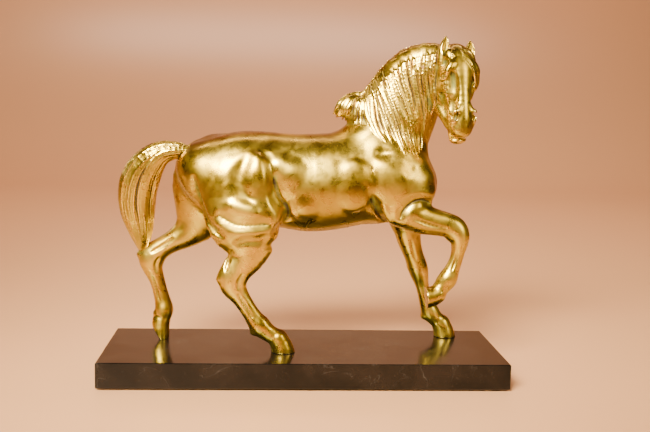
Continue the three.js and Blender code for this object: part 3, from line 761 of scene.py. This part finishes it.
def surface_net(field):
    """A closed mesh of the field's zero level: points in millimetres and four-cornered faces."""
    d = np.pad(field.d, 1, constant_values=Field.EMPTY)
    inside = d < 0
    count = np.zeros(np.array(d.shape) - 1, np.int8)
    for a, b, c in CORNERS:
        count += inside[a:a + count.shape[0], b:b + count.shape[1], c:c + count.shape[2]]
    cells = np.argwhere((count > 0) & (count < 8))
    values = np.stack([d[tuple((cells + corner).T)] for corner in CORNERS], 1)
    total = np.zeros((len(cells), 3))
    hits = np.zeros(len(cells))
    for p, q in CELL_EDGES:
        a, b = values[:, p], values[:, q]
        crossed = (a < 0) != (b < 0)
        t = np.where(crossed, a / np.where(crossed, a - b, 1), 0)
        place = CORNERS[p] + t[:, None] * (CORNERS[q] - CORNERS[p])
        total += place * crossed[:, None]
        hits += crossed
    points = cells + total / hits[:, None]
    number = np.full(count.shape, -1, np.int32)
    number[tuple(cells.T)] = np.arange(len(cells))
    faces = []
    for axis in range(3):
        side_a, side_b = (axis + 1) % 3, (axis + 2) % 3
        ahead, behind = apart(axis, 1)
        change = inside[behind] != inside[ahead]
        at = np.argwhere(change)
        at = at[(at[:, side_a] > 0) & (at[:, side_b] > 0)]
        step_a, step_b = np.eye(3, dtype=int)[side_a], np.eye(3, dtype=int)[side_b]
        ring = [number[tuple((at - o).T)] for o in (0 * step_a, step_a, step_a + step_b, step_b)]
        quads = np.stack(ring, 1)
        out = inside[tuple(at.T)]
        faces.append(np.where(out[:, None], quads, quads[:, ::-1]))
    faces = np.vstack(faces)
    points = (points + field.first - 1) * field.step
    return settle(field, points), faces


def settle(field, points):
    """Draws the mesh's points onto the true zero level, which takes the steps out of it."""
    h = field.step * 0.5
    for _ in range(2):
        slope = np.stack([
            (field.sample(points + o) - field.sample(points - o)) / (2 * h)
            for o in np.eye(3) * h
        ], 1)
        size = np.maximum((slope ** 2).sum(1), 0.2)
        move = -(field.sample(points) / size)[:, None] * slope
        points = points + np.clip(move, -h, h)
    return points


def blurred(values, radius):
    """A box blur on all three axes, run twice."""
    width = 2 * radius + 1
    for axis in (0, 1, 2) * 2:
        pad = [(0, 0)] * 3
        pad[axis] = (radius + 1, radius)
        run = np.cumsum(np.pad(values, pad, mode="edge"), axis=axis, dtype=np.float32)
        ahead, behind = apart(axis, width)
        values = (run[ahead] - run[behind]) / width
    return values


def crowding(field, points, reach):
    """From 0 to 1, how much bronze stands round each point: high in hollows, low on ridges."""
    solid = np.clip(0.5 - field.d / field.step, 0, 1)
    radius = max(1, round(reach / field.step))
    return field.sample(points, blurred(solid, radius))


def to_metres(points):
    return np.asarray(points) * MM + np.array((0, 0, TOP))


def new_object(name, points, faces):
    mesh = bpy.data.meshes.new(name)
    mesh.vertices.add(len(points))
    mesh.vertices.foreach_set("co", to_metres(points).astype(np.float32).ravel())
    mesh.loops.add(faces.size)
    mesh.loops.foreach_set("vertex_index", faces.astype(np.int32).ravel())
    mesh.polygons.add(len(faces))
    mesh.polygons.foreach_set("loop_start", np.arange(0, faces.size, faces.shape[1], dtype=np.int32))
    mesh.update(calc_edges=True)
    mesh.validate()
    obj = bpy.data.objects.new(name, mesh)
    bpy.context.scene.collection.objects.link(obj)
    return obj


def points_of(mesh):
    co = np.empty(len(mesh.vertices) * 3, np.float32)
    mesh.vertices.foreach_get("co", co)
    return co.reshape(-1, 3)


# The six faces of a block, as its corners are numbered in Seam.block.
BLOCK_FACES = np.array([
    (0, 1, 3, 2), (4, 6, 7, 5), (0, 4, 5, 1), (2, 3, 7, 6), (0, 2, 6, 4), (1, 5, 7, 3),
])


class Seam:
    """The plane where one casting ends and the next begins, and the block beyond it."""

    def __init__(self, point, normal, sides=None, size=150.0):
        self.point = np.array(point, float)
        self.normal = unit(normal)
        self.sides = sides
        self.size = size

    def block(self):
        """A block on the far side of the plane. sides limits how far it goes in y."""
        across = unit(np.cross(self.normal, (0, 1, 0)))
        third = np.cross(self.normal, across)
        half = np.full(3, self.size / 2)
        middle = self.point + self.normal * half[0]
        if self.sides:
            low, high = self.sides
            half[2] = (high - low) / 2
            middle = middle + third * ((low + high) / 2 - middle[1]) / third[1]
        corners = [middle + self.normal * (a * half[0]) + across * (b * half[1]) + third * (c * half[2])
                   for a in (-1, 1) for b in (-1, 1) for c in (-1, 1)]
        return new_object("cutter", np.array(corners), BLOCK_FACES)


NECK_SEAM = Seam((80, 12, 214), (0.406, 0, 0.914), size=260)
HEAD_SEAM = Seam((137, -2, 302), (0.62, -0.62, 0.25), size=260)
# The body is cut only at the tail's root, with a small block that leaves its haunches whole.
TAIL_ROOT = ((-124, 1.5, 207.2), (-1, 0, 0.1))
TAIL_SEAM = Seam(*TAIL_ROOT, size=260)
TAIL_SOCKET = Seam(*TAIL_ROOT, size=20)
NEAR_HIND_SEAM = Seam((-60, -26, 120), (-0.1, 0, -1), sides=(-60, -6))
FAR_HIND_SEAM = Seam((-119, 31, 126), (-0.75, 0, -0.66), sides=(10, 70))
NEAR_FORE_SEAM = Seam((118, -12, 150), (0.6, 0, -0.8), sides=(-60, 6))
FAR_FORE_SEAM = Seam((114, 37, 128), (0.2, 0, -0.98))


def cut_by(obj, seam, keep_beyond):
    """Leaves only what lies beyond a seam, or only what lies before it."""
    block = seam.block()
    normals_out(block.data)
    cut = obj.modifiers.new("seam", "BOOLEAN")
    cut.operation = "INTERSECT" if keep_beyond else "DIFFERENCE"
    cut.object = block
    cut.solver = "MANIFOLD"
    graph = bpy.context.evaluated_depsgraph_get()
    result = bpy.data.meshes.new_from_object(obj.evaluated_get(graph))
    old = obj.data
    obj.modifiers.clear()
    obj.data = result
    bpy.data.meshes.remove(old)
    bpy.data.meshes.remove(block.data)


def normals_out(mesh):
    work = bmesh.new()
    work.from_mesh(mesh)
    bmesh.ops.recalc_face_normals(work, faces=work.faces)
    work.to_mesh(mesh)
    work.free()


def keep_largest(obj):
    """Drops the crumbs that a cut can leave."""
    work = bmesh.new()
    work.from_mesh(obj.data)
    left = set(work.verts)
    groups = []
    while left:
        stack = [left.pop()]
        group = set(stack)
        while stack:
            vert = stack.pop()
            for edge in vert.link_edges:
                other = edge.other_vert(vert)
                if other in left:
                    left.discard(other)
                    group.add(other)
                    stack.append(other)
        groups.append(group)
    largest = max(groups, key=len)
    extra = [v for group in groups if group is not largest for v in group]
    bmesh.ops.delete(work, geom=extra, context="VERTS")
    work.to_mesh(obj.data)
    work.free()


SEAM_ANGLE = math.radians(62)


def casting(name, node, field, seams):
    """Meshes a field, cuts it at its seams and makes it the piece for a CAD casting.

    seams is a list of (seam, keep_beyond).
    """
    obj = new_object(name, *surface_net(field))
    for seam, keep_beyond in seams:
        cut_by(obj, seam, keep_beyond)
    keep_largest(obj)
    mesh = obj.data
    mesh.shade_smooth()
    mesh.set_sharp_from_angle(angle=SEAM_ANGLE)
    places = (points_of(mesh) - np.array((0, 0, TOP))) / MM
    for layer, reach in (("fine_hollow", 1.2), ("wide_hollow", 4.5)):
        values = crowding(field, places, reach).astype(np.float32)
        mesh.attributes.new(layer, "FLOAT", "POINT").data.foreach_set("value", values)
    mesh.materials.clear()
    mesh.materials.append(MATERIALS["bronze"])
    mesh.polygons.foreach_set("material_index", np.zeros(len(mesh.polygons), np.int32))
    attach(obj, "root")
    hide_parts(node)


def new_field(low, high, step):
    return Field(low, high, step * COARSE)


def make_body():
    field = new_field((-158, -48, 100), (142, 64, 248), BODY_STEP)
    figure(field)
    casting("body", "body_casting", field, [
        (NECK_SEAM, False), (TAIL_SOCKET, False), (NEAR_HIND_SEAM, False), (FAR_HIND_SEAM, False),
        (NEAR_FORE_SEAM, False), (FAR_FORE_SEAM, False),
    ])


def make_legs():
    for name, low, high, seam in (
        ("near_hind", (-100, -44, -1), (-4, -6, 128), NEAR_HIND_SEAM),
        ("far_hind", (-188, 8, -1), (-92, 50, 176), FAR_HIND_SEAM),
        ("near_fore", (84, -30, 40), (178, 6, 168), NEAR_FORE_SEAM),
        ("far_fore", (92, 18, -1), (182, 62, 134), FAR_FORE_SEAM),
    ):
        field = new_field(low, high, LIMB_STEP)
        figure(field)
        casting(name, name + "_leg", field, [(seam, True)])


# ------------------------------------------------------------------ the head

# Down the face: down, out, left, half-size out of the face, half-width.
SKULL = [
    (5, -3, 0, 7, 9), (9, -3, 0, 12.5, 13.5), (15, -3.5, 0, 17, 17), (24, -4, 0, 19.5, 18.6),
    (34, -5, 0, 19.5, 17.6), (44, -4, 0, 17.8, 15), (54, -0.5, 0, 14, 12.4), (64, 3, 0, 11, 10.8),
    (73, 5, 0, 9.4, 11), (81, 5, 0, 8.4, 10.6), (87, 4.5, 0, 6.6, 9),
]
NASAL = [
    (16, 9.5, 0, 6, 12), (26, 11.5, 0, 5, 10), (38, 12, 0, 4, 7.5), (50, 12, 0, 3.6, 6.2),
    (62, 12, 0, 3.2, 5.6), (72, 12, 0, 3, 5.4), (80, 11, 0, 3, 6),
]
# The left half of the jaw, brow and facial crest: the right half mirrors it.
JAW = [
    (34, -17, 11, 9, 7), (46, -18.5, 12, 8, 7), (57, -17, 12, 6.5, 6), (66, -13.5, 10.5, 5.2, 4.8),
    (74, -9.5, 8, 4.6, 4.4), (82, -6.5, 5.5, 4.4, 4.4),
]
BROW = [(15, 8, 10, 3.6, 3), (20, 10.8, 13.5, 4.2, 3.6), (25.5, 10, 17, 3.6, 3.2), (31, 5, 19, 2.6, 2.2)]
FACIAL_CREST = [
    (34, 4.5, 17.2, 2.8, 2.4), (43, 3.5, 15.8, 2.6, 2.2), (52, 2.8, 13.2, 2, 1.8), (60, 3, 11, 1.2, 1.2),
]
EYE = (30.5, 3.6)
EYE_LEFT = 16.2
SIDES = (1, -1)


def mirrored(rows, side):
    """Rows of down, out, left and sizes, on the horse's left or right."""
    return [(down, out, left * side, deep, wide) for down, out, left, deep, wide in rows]


def merge_skull(field):
    head_tube(field, SKULL, 0, inner=4)
    head_tube(field, NASAL, 4, inner=3)
    # poll and throat, into the neck
    head_ball(field, (9, -10, 0), (10, 14, 13), 6)
    head_ball(field, (22, -20, 0), (17, 11, 13), 8)
    for side in SIDES:
        head_tube(field, mirrored(JAW, side), 6, inner=3)
        head_ball(field, (39, -10, 12.5 * side), (17, 13.5, 7.2), 3.5)
        head_tube(field, mirrored(BROW, side), 4, inner=2)
        head_tube(field, mirrored(FACIAL_CREST, side), 3, inner=2)
        head_ball(field, (9, 2, 12 * side), (8, 8, 5), 5)


def merge_muzzle(field):
    for side in SIDES:
        # the wing of the nostril, and the swelling of the lip below it
        head_tube(field, [(61, 11, 5.5 * side, 2.4, 2.2), (66.5, 12.5, 8.5 * side, 3, 2.6),
                          (74, 10, 12 * side, 3.2, 2.4), (80, 5.5, 11.8 * side, 3, 2.4)], 3.5, inner=2)
        head_ball(field, (76, 3, 10.5 * side), (9, 6, 4.2), 4)
        head_ball(field, (85, 5, 6.5 * side), (5.5, 6, 5), 3)
    head_ball(field, (84.5, 8.5, 0), (7, 5.5, 7), 3)
    head_ball(field, (89, 6.5, 0), (4.6, 6, 7.5), 2.5)
    # lower lip and chin
    head_ball(field, (89, -4.5, 0), (7, 7, 9.6), 3)
    head_ball(field, (94.5, -2.6, 0), (5.2, 7, 9.4), 2.5)
    head_ball(field, (84, -9.5, 0), (7, 5, 6), 4)


def carve_face(field):
    for side in SIDES:
        # hollow over the eye, the socket, and the long hollows beside the nasal bone
        head_ball(field, (17, 5.5, 18.5 * side), (5, 4, 3.4), 4, carve=True)
        head_ball(field, (EYE[0], EYE[1], 21.5 * side), (6, 6.4, 4.6), 2.4, carve=True)
        head_ball(field, (43, 12.5, 12 * side), (15, 5, 4.6), 3.5, carve=True)
        head_ball(field, (60, 8.5, 12 * side), (9, 5, 3.6), 4, carve=True)
        # under the facial crest, and behind the corner of the mouth
        head_ball(field, (56, -5, 16.5 * side), (10, 5, 3), 5, carve=True)
        head_ball(field, (79, -2.5, 13.5 * side), (5, 2.6, 3), 3, carve=True)
        shape_eye(field, side)
        shape_nostril(field, side)
    mouth = [(93.6 - 0.085 * left * left, 3.2 - 0.022 * left * left, left, 0.9, 0.9)
             for left in (-12.5, -10, -7, -3.5, 0, 3.5, 7, 10, 12.5)]
    head_tube(field, mouth, 0.7, side=DOWN, carve=True)
    # ridges across the lower lip
    for down in (95.2, 97.4):
        ring = [(down, -2.6 + 7.2 * math.cos(a), 9.6 * math.sin(a), 0.5, 0.5)
                for a in np.linspace(-1.2, 1.2, 9)]
        head_tube(field, ring, 0.7, side=DOWN, carve=True)


def eye_arc(side, rise, reach, start, end, lift, thick):
    """A lid or a wrinkle round the eye: rise is its size up or down, reach its half-length."""
    return [(EYE[0] - rise * math.sin(a), EYE[1] + reach * math.cos(a),
             (EYE_LEFT + lift + 1.4 * math.sin(a)) * side, thick, thick)
            for a in np.linspace(start, end, 8)]


def shape_eye(field, side):
    """The ball of the eye, its two lids and the wrinkles above it."""
    head_ball(field, (EYE[0], EYE[1] - 0.2, (EYE_LEFT - 0.8) * side), (4.0, 4.6, 4.0), 0.4)
    head_tube(field, eye_arc(side, 3.8, 5.6, -0.1, 3.2, 1.0, 1.05), 0.6)
    head_tube(field, eye_arc(side, -3.6, 5.2, 0.1, 3.0, 1.2, 0.85), 0.6)
    for rise, reach in ((6.0, 7.0), (7.9, 8.2), (9.7, 9.4)):
        head_tube(field, eye_arc(side, rise, reach, 0.25, 2.7, 1.3, 0.7), 0.7)


def shape_nostril(field, side):
    """An oval opening under the curled wing, with a raised rim."""
    rim = [(72 + 5.6 * math.cos(a), 11.4 - 2.0 * math.cos(a) + 1.8 * math.sin(a),
            (10.6 + 1.4 * math.sin(a)) * side, 1.4, 1.4) for a in np.linspace(0, 2 * math.pi, 13)]
    head_tube(field, rim, 1.6)
    head_tube(field, [(67.5, 13.4, 9.8 * side, 1.2, 1.5), (71.5, 13.0, 11 * side, 2.6, 2.8),
                      (76.5, 10.8, 11.6 * side, 1.6, 2.1)], 0.9, carve=True)


EARS = (
    # left, lean to the left at the tip, height
    (-15.7, 4.5, 23.5),
    (16.3, 1.5, 20),
)
EAR_ROOT = 12.0
EAR_CUP = (
    # share of the height, half-depth, half-width, shift out of the face
    (-0.1, 4.4, 4.8, -2), (0.15, 4.6, 5.4, -1.5), (0.4, 4.2, 5.8, -1), (0.62, 3.4, 4.9, -0.8),
    (0.82, 2.2, 3.1, -0.8), (0.95, 1.1, 1.3, -1), (1, 0.6, 0.6, -1.2),
)
EAR_HOLLOW = (
    (0.12, 1.4, 1.6, 3.8), (0.28, 3.0, 3.4, 2.6), (0.48, 3.1, 3.9, 2.1),
    (0.66, 2.4, 3.1, 1.6), (0.82, 1.4, 1.8, 1.0), (0.92, 0.6, 0.7, 0.4),
)


def ear_rows(left, lean, height, shape):
    return [(EAR_ROOT - share * height, shift, left + lean * share, deep, wide)
            for share, deep, wide, shift in shape]


def merge_ears(field):
    for left, lean, height in EARS:
        head_tube(field, ear_rows(left, lean, height, EAR_CUP), 2.0, inner=1)
        head_tube(field, ear_rows(left, lean, height, EAR_HOLLOW), 0.4, inner=0.6, carve=True)


# ------------------------------------------------------------------ hair


class Hair:
    """Locks of hair, drawn up from seeded random numbers so that every run is the same."""

    def __init__(self, seed):
        self.random = np.random.default_rng(seed)
        self.locks = []

    def spread(self, size):
        return self.random.uniform(-size, size)

    def lock(self, path, width, depth, toward, sink=0.35, ridges=0.14, wave=0.6):
        """One tapered, faintly waved lock. path is points on the skin, and toward is the way
        into the bronze, for all of them or for each."""
        path = smooth_path(path, 3)
        toward = np.broadcast_to(np.array(toward, float), path.shape)
        share = np.linspace(0, 1, len(path))
        swell = np.clip(np.minimum(share * 6 + 0.15, (1 - share) * 2.6 + 0.12), 0, 1)
        along = np.array([unit(a) for a in np.gradient(path, axis=0)])
        across = np.array([unit(np.cross(a, t)) for a, t in zip(along, toward)])
        phase = self.random.uniform(0, 6.28)
        sway = wave * np.sin(share * self.random.uniform(5, 9) + phase)
        path = path + across * sway[:, None] + toward * (sink * depth * swell)[:, None]
        rows = np.column_stack([path, depth * swell, width * swell])
        self.locks.append((rows, across, (6, ridges, phase)))

    def merge(self, field):
        for rows, across, ridges in self.locks:
            tube(field, rows, 0.7, side=across, inner=0.6, detail=1, ridges=ridges)


# Guide lines down the near side of the neck, x and z, from the withers to the throat. Each
# strand of the mane runs between two of them.
MANE_GUIDES = [
    [(50, 268), (52, 258), (53, 247), (52, 237)],
    [(57, 273), (59, 261), (61, 248), (62, 234)],
    [(63, 280), (64.5, 258), (66.5, 241), (72, 229.5), (81, 219.5)],
    [(69.5, 290), (73.5, 275.5), (80, 261.5), (89, 241), (98, 216), (103, 204)],
    [(75, 298), (82, 275.5), (90.5, 257.5), (99.5, 236), (106.5, 216), (109, 202.5)],
    [(84, 308), (89.5, 284), (98.5, 264), (107.5, 241.5), (112.5, 221), (114.5, 201.5)],
    [(97, 319), (100.5, 292.5), (106.5, 272.5), (112.5, 247), (116.5, 226.5), (117, 201)],
    [(110, 324.5), (110.5, 295), (114.5, 272.5), (119.5, 252), (120.5, 231.5), (119.5, 204)],
    [(122, 326), (121.5, 296), (125, 275), (127, 260), (124, 242), (120.5, 215)],
    [(131, 326), (128, 300), (130, 282), (131, 264), (127, 244), (121.5, 223)],
]
GUIDE_POINTS = 9
STRAND_POINTS = 24


def resampled(points, count):
    """A smooth line through points, as count points at even spacing."""
    path = smooth_path(points, 6)
    run = np.concatenate([[0], np.cumsum(np.linalg.norm(np.diff(path, axis=0), axis=1))])
    return np.column_stack([np.interp(np.linspace(0, run[-1], count), run, axis) for axis in path.T])


GUIDES = np.array([resampled(guide, GUIDE_POINTS) for guide in MANE_GUIDES])


def mane_line(share):
    """The line of the side view at a share of the way from the first guide to the last."""
    place = np.clip(share, 0, 1) * (len(GUIDES) - 1)
    i = min(int(place), len(GUIDES) - 2)
    return GUIDES[i] * (1 - place + i) + GUIDES[i + 1] * (place - i)


def laid(field, line, toward):
    """A line of the side view laid on one side of the neck."""
    flat = np.column_stack([line[:, 0], np.full(len(line), 10.0), line[:, 1]])
    return field.skin(flat, toward, reach=45)


def lay_mane(field, hair):
    for count, width, depth, sink, short in ((30, 2.3, 2.2, 0.25, 0.05), (22, 1.8, 2.4, -0.15, 0.30)):
        for i in range(count):
            share = (i + 0.5 + hair.spread(0.4)) / count
            line = mane_line(share)
            lean = mane_line(share + hair.spread(0.03)) - line
            line = line + lean * np.linspace(0, 1, GUIDE_POINTS)[:, None]
            first = hair.random.uniform(0, 0.6 * short)
            last = 1 - hair.random.uniform(0, short) - 0.04 * hair.random.uniform(0, 1)
            start = round(first * (STRAND_POINTS - 1))
            end = max(round(last * (STRAND_POINTS - 1)), start + 8)
            keep = resampled(line, STRAND_POINTS)[start:end]
            path = laid(field, resampled(keep, 8), NEAR)
            hair.lock(path, width * hair.random.uniform(0.75, 1.2), depth, NEAR, sink=sink)


# The tuft at the foot of the mane: strands that rise from it and curl back over the withers.
TUFT_CORE = [(70, 9, 240, 16, 8), (61, 9, 247, 17, 7.5), (52, 9, 253, 14, 6.5), (44, 9, 257, 10, 5.5),
             (37, 9, 256, 6.5, 4.5), (32, 9, 250, 3.5, 3)]
TUFT_LINES = [
    [(60, 272), (54, 271), (47, 269), (40, 265.5), (35.5, 257.5), (35, 248)],
    [(59, 271), (51, 271), (43, 269), (34, 261.5), (29, 254), (26, 249)],
    [(57, 269), (50, 267), (45, 262), (41.5, 254), (40, 243)],
    [(58, 268), (53, 263), (50.5, 255), (49, 246), (49, 238)],
    [(59, 270), (52, 269), (44, 266.5), (37.5, 260), (32, 251), (30.5, 246)],
    [(60, 268), (56.5, 261), (55.5, 252), (55, 240)],
    [(56, 269), (49, 268), (43, 263.5), (38.5, 255), (36.5, 244)],
]


def lay_tuft(field, hair):
    for toward, lines in ((NEAR, TUFT_LINES), (FAR, TUFT_LINES[::2])):
        for line in lines:
            path = laid(field, resampled(line, 9), toward)
            hair.lock(path, 3.0, 2.4, toward, sink=0.1, wave=0.4)


FAR_LOCKS = 40


def lay_far_mane(field, hair):
    """On the far side only short locks lie over the crest, and the neck below them is bare."""
    for i in range(FAR_LOCKS):
        share = (i + 0.5 + hair.spread(0.3)) / FAR_LOCKS
        line = resampled(mane_line(share), STRAND_POINTS)
        line = line[:round(6 + hair.random.uniform(0, 4))]
        path = laid(field, resampled(line, 6), FAR)
        hair.lock(path, 2.8, 1.9, FAR, sink=0.3)


# Strands of the forelock in the head's axes: down, out, left. They sweep from the poll
# towards the left eye.
FORELOCK = [
    [(4, 9, -4), (8, 13, 1), (12, 14, 6), (17, 13, 12), (23, 9.5, 17), (30, 6.5, 19), (36, 6, 17.5)],
    [(6, 10, -4), (11, 14, 1), (16, 15.5, 6), (22, 14.5, 11.5), (29, 11.5, 16), (36, 9, 17.5),
     (41, 8.5, 15.5)],
    [(8, 11, -4), (14, 14.5, 0), (20, 15.8, 4.5), (27, 15.5, 9), (34, 13.5, 12.5), (40, 11.5, 14),
     (44, 11, 12)],
    [(3, 7, -2), (5, 10.5, 4), (8, 11.5, 10), (13, 9.5, 15.5), (19, 6, 19), (26, 3.5, 20.5)],
    [(9, 11, -6), (16, 14, -3), (23, 15.5, 0), (30, 16, 4), (37, 15, 7)],
]
FORELOCK_STRANDS = 10


def merge_forelock(field):
    hair = Hair(31)
    lines = np.array([resampled(line, 8) for line in FORELOCK])
    core = [tuple(p) + (3, 5) for p in lines[1] - (0, 3.4, 0)]
    head_tube(field, core, 3, inner=2)
    for layer in range(2):
        for i in range(FORELOCK_STRANDS):
            place = (i + 0.5 + hair.spread(0.3)) / FORELOCK_STRANDS * (len(lines) - 1)
            k = min(int(place), len(lines) - 2)
            line = lines[k] * (1 - place + k) + lines[k + 1] * (place - k)
            line = line + (0, 0.5 * layer + hair.spread(0.4), 0)
            path = [head_point(*p) for p in line[:8 - layer * (i % 2)]]
            hair.lock(path, 1.8 - 0.5 * layer, 1.8, -OUT, sink=0.1, wave=0.6)
    # thin strands on the near side of the forehead
    for i in range(5):
        rows = [head_point(3 + i, 9.5, -9 + i), head_point(9 + i, 12, -11.5 + i),
                head_point(16 + i, 11.5, -14 + 1.5 * i)]
        hair.lock(rows, 1.3, 1.2, -OUT, sink=0.3)
    hair.merge(field)


TAIL_LOCKS = 46
# Close to the golden angle, so that locks laid one after another spread evenly round the tail.
LOCK_TURN = 2.4


def merge_tail_hair(field):
    """Locks that run the length of the tail, laid round its core and ending at its tip."""
    hair = Hair(7)
    core = smooth_path(TAIL, 3)
    along = np.array([unit(a) for a in np.gradient(core[:, :3], axis=0)])
    across = np.array([unit(np.array(NEAR) - a * a[1]) for a in along])
    deep = np.cross(along, across)
    last = len(core) - 1
    for i in range(TAIL_LOCKS):
        turn = LOCK_TURN * i + hair.spread(0.25)
        first = int(3 + (i % 5) * 2.4 + abs(hair.spread(2)))
        end = int(last - abs(hair.spread(0.28)) * last * (i % 3) * 0.5)
        twist = hair.spread(0.5)
        rows = []
        inward = []
        for k in np.unique(np.linspace(first, end, 8).astype(int)):
            angle = turn + twist * (k - first) / last
            c, s = math.cos(angle), math.sin(angle)
            ring = across[k] * (c * core[k, 4]) + deep[k] * (s * core[k, 3])
            rows.append(core[k, :3] + ring)
            inward.append(-unit(ring))
        width = hair.random.uniform(2.4, 4.4)
        inward = smooth_path(inward, 3)
        hair.lock(rows, width, width * 0.72, inward, sink=0.15, wave=0.8, ridges=0.28)
    hair.merge(field)


# ------------------------------------------------------------------ neck, head and tail castings


def make_neck_and_head():
    neck = new_field((18, -32, 168), (160, 52, 332), NECK_STEP)
    figure(neck)
    merge_skull(neck)
    tube(neck, TUFT_CORE, 6, inner=4)
    hair = Hair(11)
    lay_far_mane(neck, hair)
    lay_mane(neck, hair)
    lay_tuft(neck, hair)
    hair.merge(neck)
    casting("neck", "neck_casting", neck, [(NECK_SEAM, True), (HEAD_SEAM, False)])

    head = new_field((104, -68, 212), (190, 26, 338), HEAD_STEP)
    tube(head, NECK, 0, inner=4)
    merge_skull(head)
    merge_muzzle(head)
    carve_face(head)
    hair.merge(head)
    merge_ears(head)
    merge_forelock(head)
    casting("head", "head_casting", head, [(HEAD_SEAM, True)])


def make_tail():
    field = new_field((-206, -20, 88), (-110, 46, 226), TAIL_STEP)
    tube(field, TAIL, 0, inner=2)
    merge_tail_hair(field)
    casting("tail", "tail_casting", field, [(TAIL_SEAM, True)])


# ------------------------------------------------------------------ the carried-over CAD pieces


def finish_fixings():
    """Gives every CAD node that stays in view a material of its own kind."""
    kinds = (("_stud", "fixing_bronze"), ("_pin", "fixing_bronze"), ("_washer", "zinc_steel"),
             ("_nut", "zinc_steel"), ("_pad", "felt"), ("plinth", "black_stone"))
    for name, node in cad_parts.items():
        for ending, slot in kinds:
            if name.endswith(ending):
                for held in node.material_slots:
                    held.material = MATERIALS[slot]


# ------------------------------------------------------------------ floor, lights and camera

ROOM = 9.0
WALL_AT = 2.0
CURVE = 0.8


FLOOR_COLOUR = (0.63, 0.325, 0.165)


def pale_floor():
    """Satin paint, faintly clouded."""
    f = Finish("pale_floor")
    darker = tuple(c * 0.97 for c in FLOOR_COLOUR)
    return f.done(f.blend(f.noise(0.35, 3), FLOOR_COLOUR, darker), 0.35)


def make_stage():
    """A pale floor that curves up into a wall behind the statue."""
    profile = [(-ROOM / 2, 0.0), (WALL_AT, 0.0)]
    for step in range(1, 17):
        a = step / 16 * math.pi / 2
        profile.append((WALL_AT + CURVE * math.sin(a), CURVE * (1 - math.cos(a))))
    profile.append((WALL_AT + CURVE, ROOM / 2))
    work = bmesh.new()
    rows = [[work.verts.new((x, y, z)) for x in (-ROOM / 2, ROOM / 2)] for y, z in profile]
    for (a, b), (c, d) in zip(rows, rows[1:]):
        work.faces.new((a, b, d, c))
    mesh = bpy.data.meshes.new("floor")
    work.to_mesh(mesh)
    work.free()
    mesh.shade_smooth()
    mesh.materials.append(pale_floor())
    floor = bpy.data.objects.new("floor", mesh)
    bpy.context.scene.collection.objects.link(floor)


def softbox(name, at, toward, size, power, colour, spread=180):
    light = bpy.data.lights.new(name, "AREA")
    light.shape = "RECTANGLE"
    light.size, light.size_y = size
    light.energy = power
    light.color = colour
    light.spread = math.radians(spread)
    box = bpy.data.objects.new(name, light)
    box.location = at
    box.rotation_euler = (Vector(toward) - Vector(at)).to_track_quat("-Z", "Y").to_euler()
    bpy.context.scene.collection.objects.link(box)


def make_lights():
    middle = (0, 0, 0.17)
    softbox("key", (-0.55, -1.15, 1.10), middle, (0.70, 0.50), 17, (1.0, 0.91, 0.68), 55)
    softbox("fill", (1.1, -0.9, 0.75), middle, (0.30, 0.7), 8, (1.0, 0.89, 0.64))
    softbox("rim", (-1.2, 0.9, 0.8), middle, (0.4, 0.7), 3.5, (1.0, 0.91, 0.74))
    softbox("wall", (0, 0.9, 2.2), (0, 2.8, 0.7), (2.5, 0.6), 105, (1.0, 0.80, 0.62))
    world = bpy.data.worlds.new("room")
    world.use_nodes = True
    air = world.node_tree.nodes["Background"]
    air.inputs["Color"].default_value = (0.85, 0.62, 0.42, 1)
    air.inputs["Strength"].default_value = 0.09
    bpy.context.scene.world = world


# The camera's place is in millimetres, with its height above the plinth's top.
CAMERA_AT = (-44.9, -959.1, 262.9)
CAMERA_PITCH = 0.1254
CAMERA_YAW = -0.0676
CAMERA_ROLL = 0.0244
LENS = 50.39
SENSOR = 36.0


def make_camera():
    data = bpy.data.cameras.new("camera")
    data.lens = LENS
    data.sensor_width = SENSOR
    ahead = Vector((-math.sin(CAMERA_YAW) * math.cos(CAMERA_PITCH),
                    math.cos(CAMERA_YAW) * math.cos(CAMERA_PITCH), -math.sin(CAMERA_PITCH)))
    right = Vector((math.cos(CAMERA_YAW), math.sin(CAMERA_YAW), 0))
    up = right.cross(ahead)
    turned_right = right * math.cos(CAMERA_ROLL) + up * math.sin(CAMERA_ROLL)
    turned_up = up * math.cos(CAMERA_ROLL) - right * math.sin(CAMERA_ROLL)
    camera = bpy.data.objects.new("camera", data)
    turn = Matrix((turned_right, turned_up, -ahead)).transposed()
    camera.matrix_world = Matrix.Translation(to_metres(CAMERA_AT)) @ turn.to_4x4()
    bpy.context.scene.collection.objects.link(camera)
    bpy.context.scene.camera = camera


make_body()
make_legs()
make_neck_and_head()
make_tail()
finish_fixings()
make_stage()
make_lights()
make_camera()
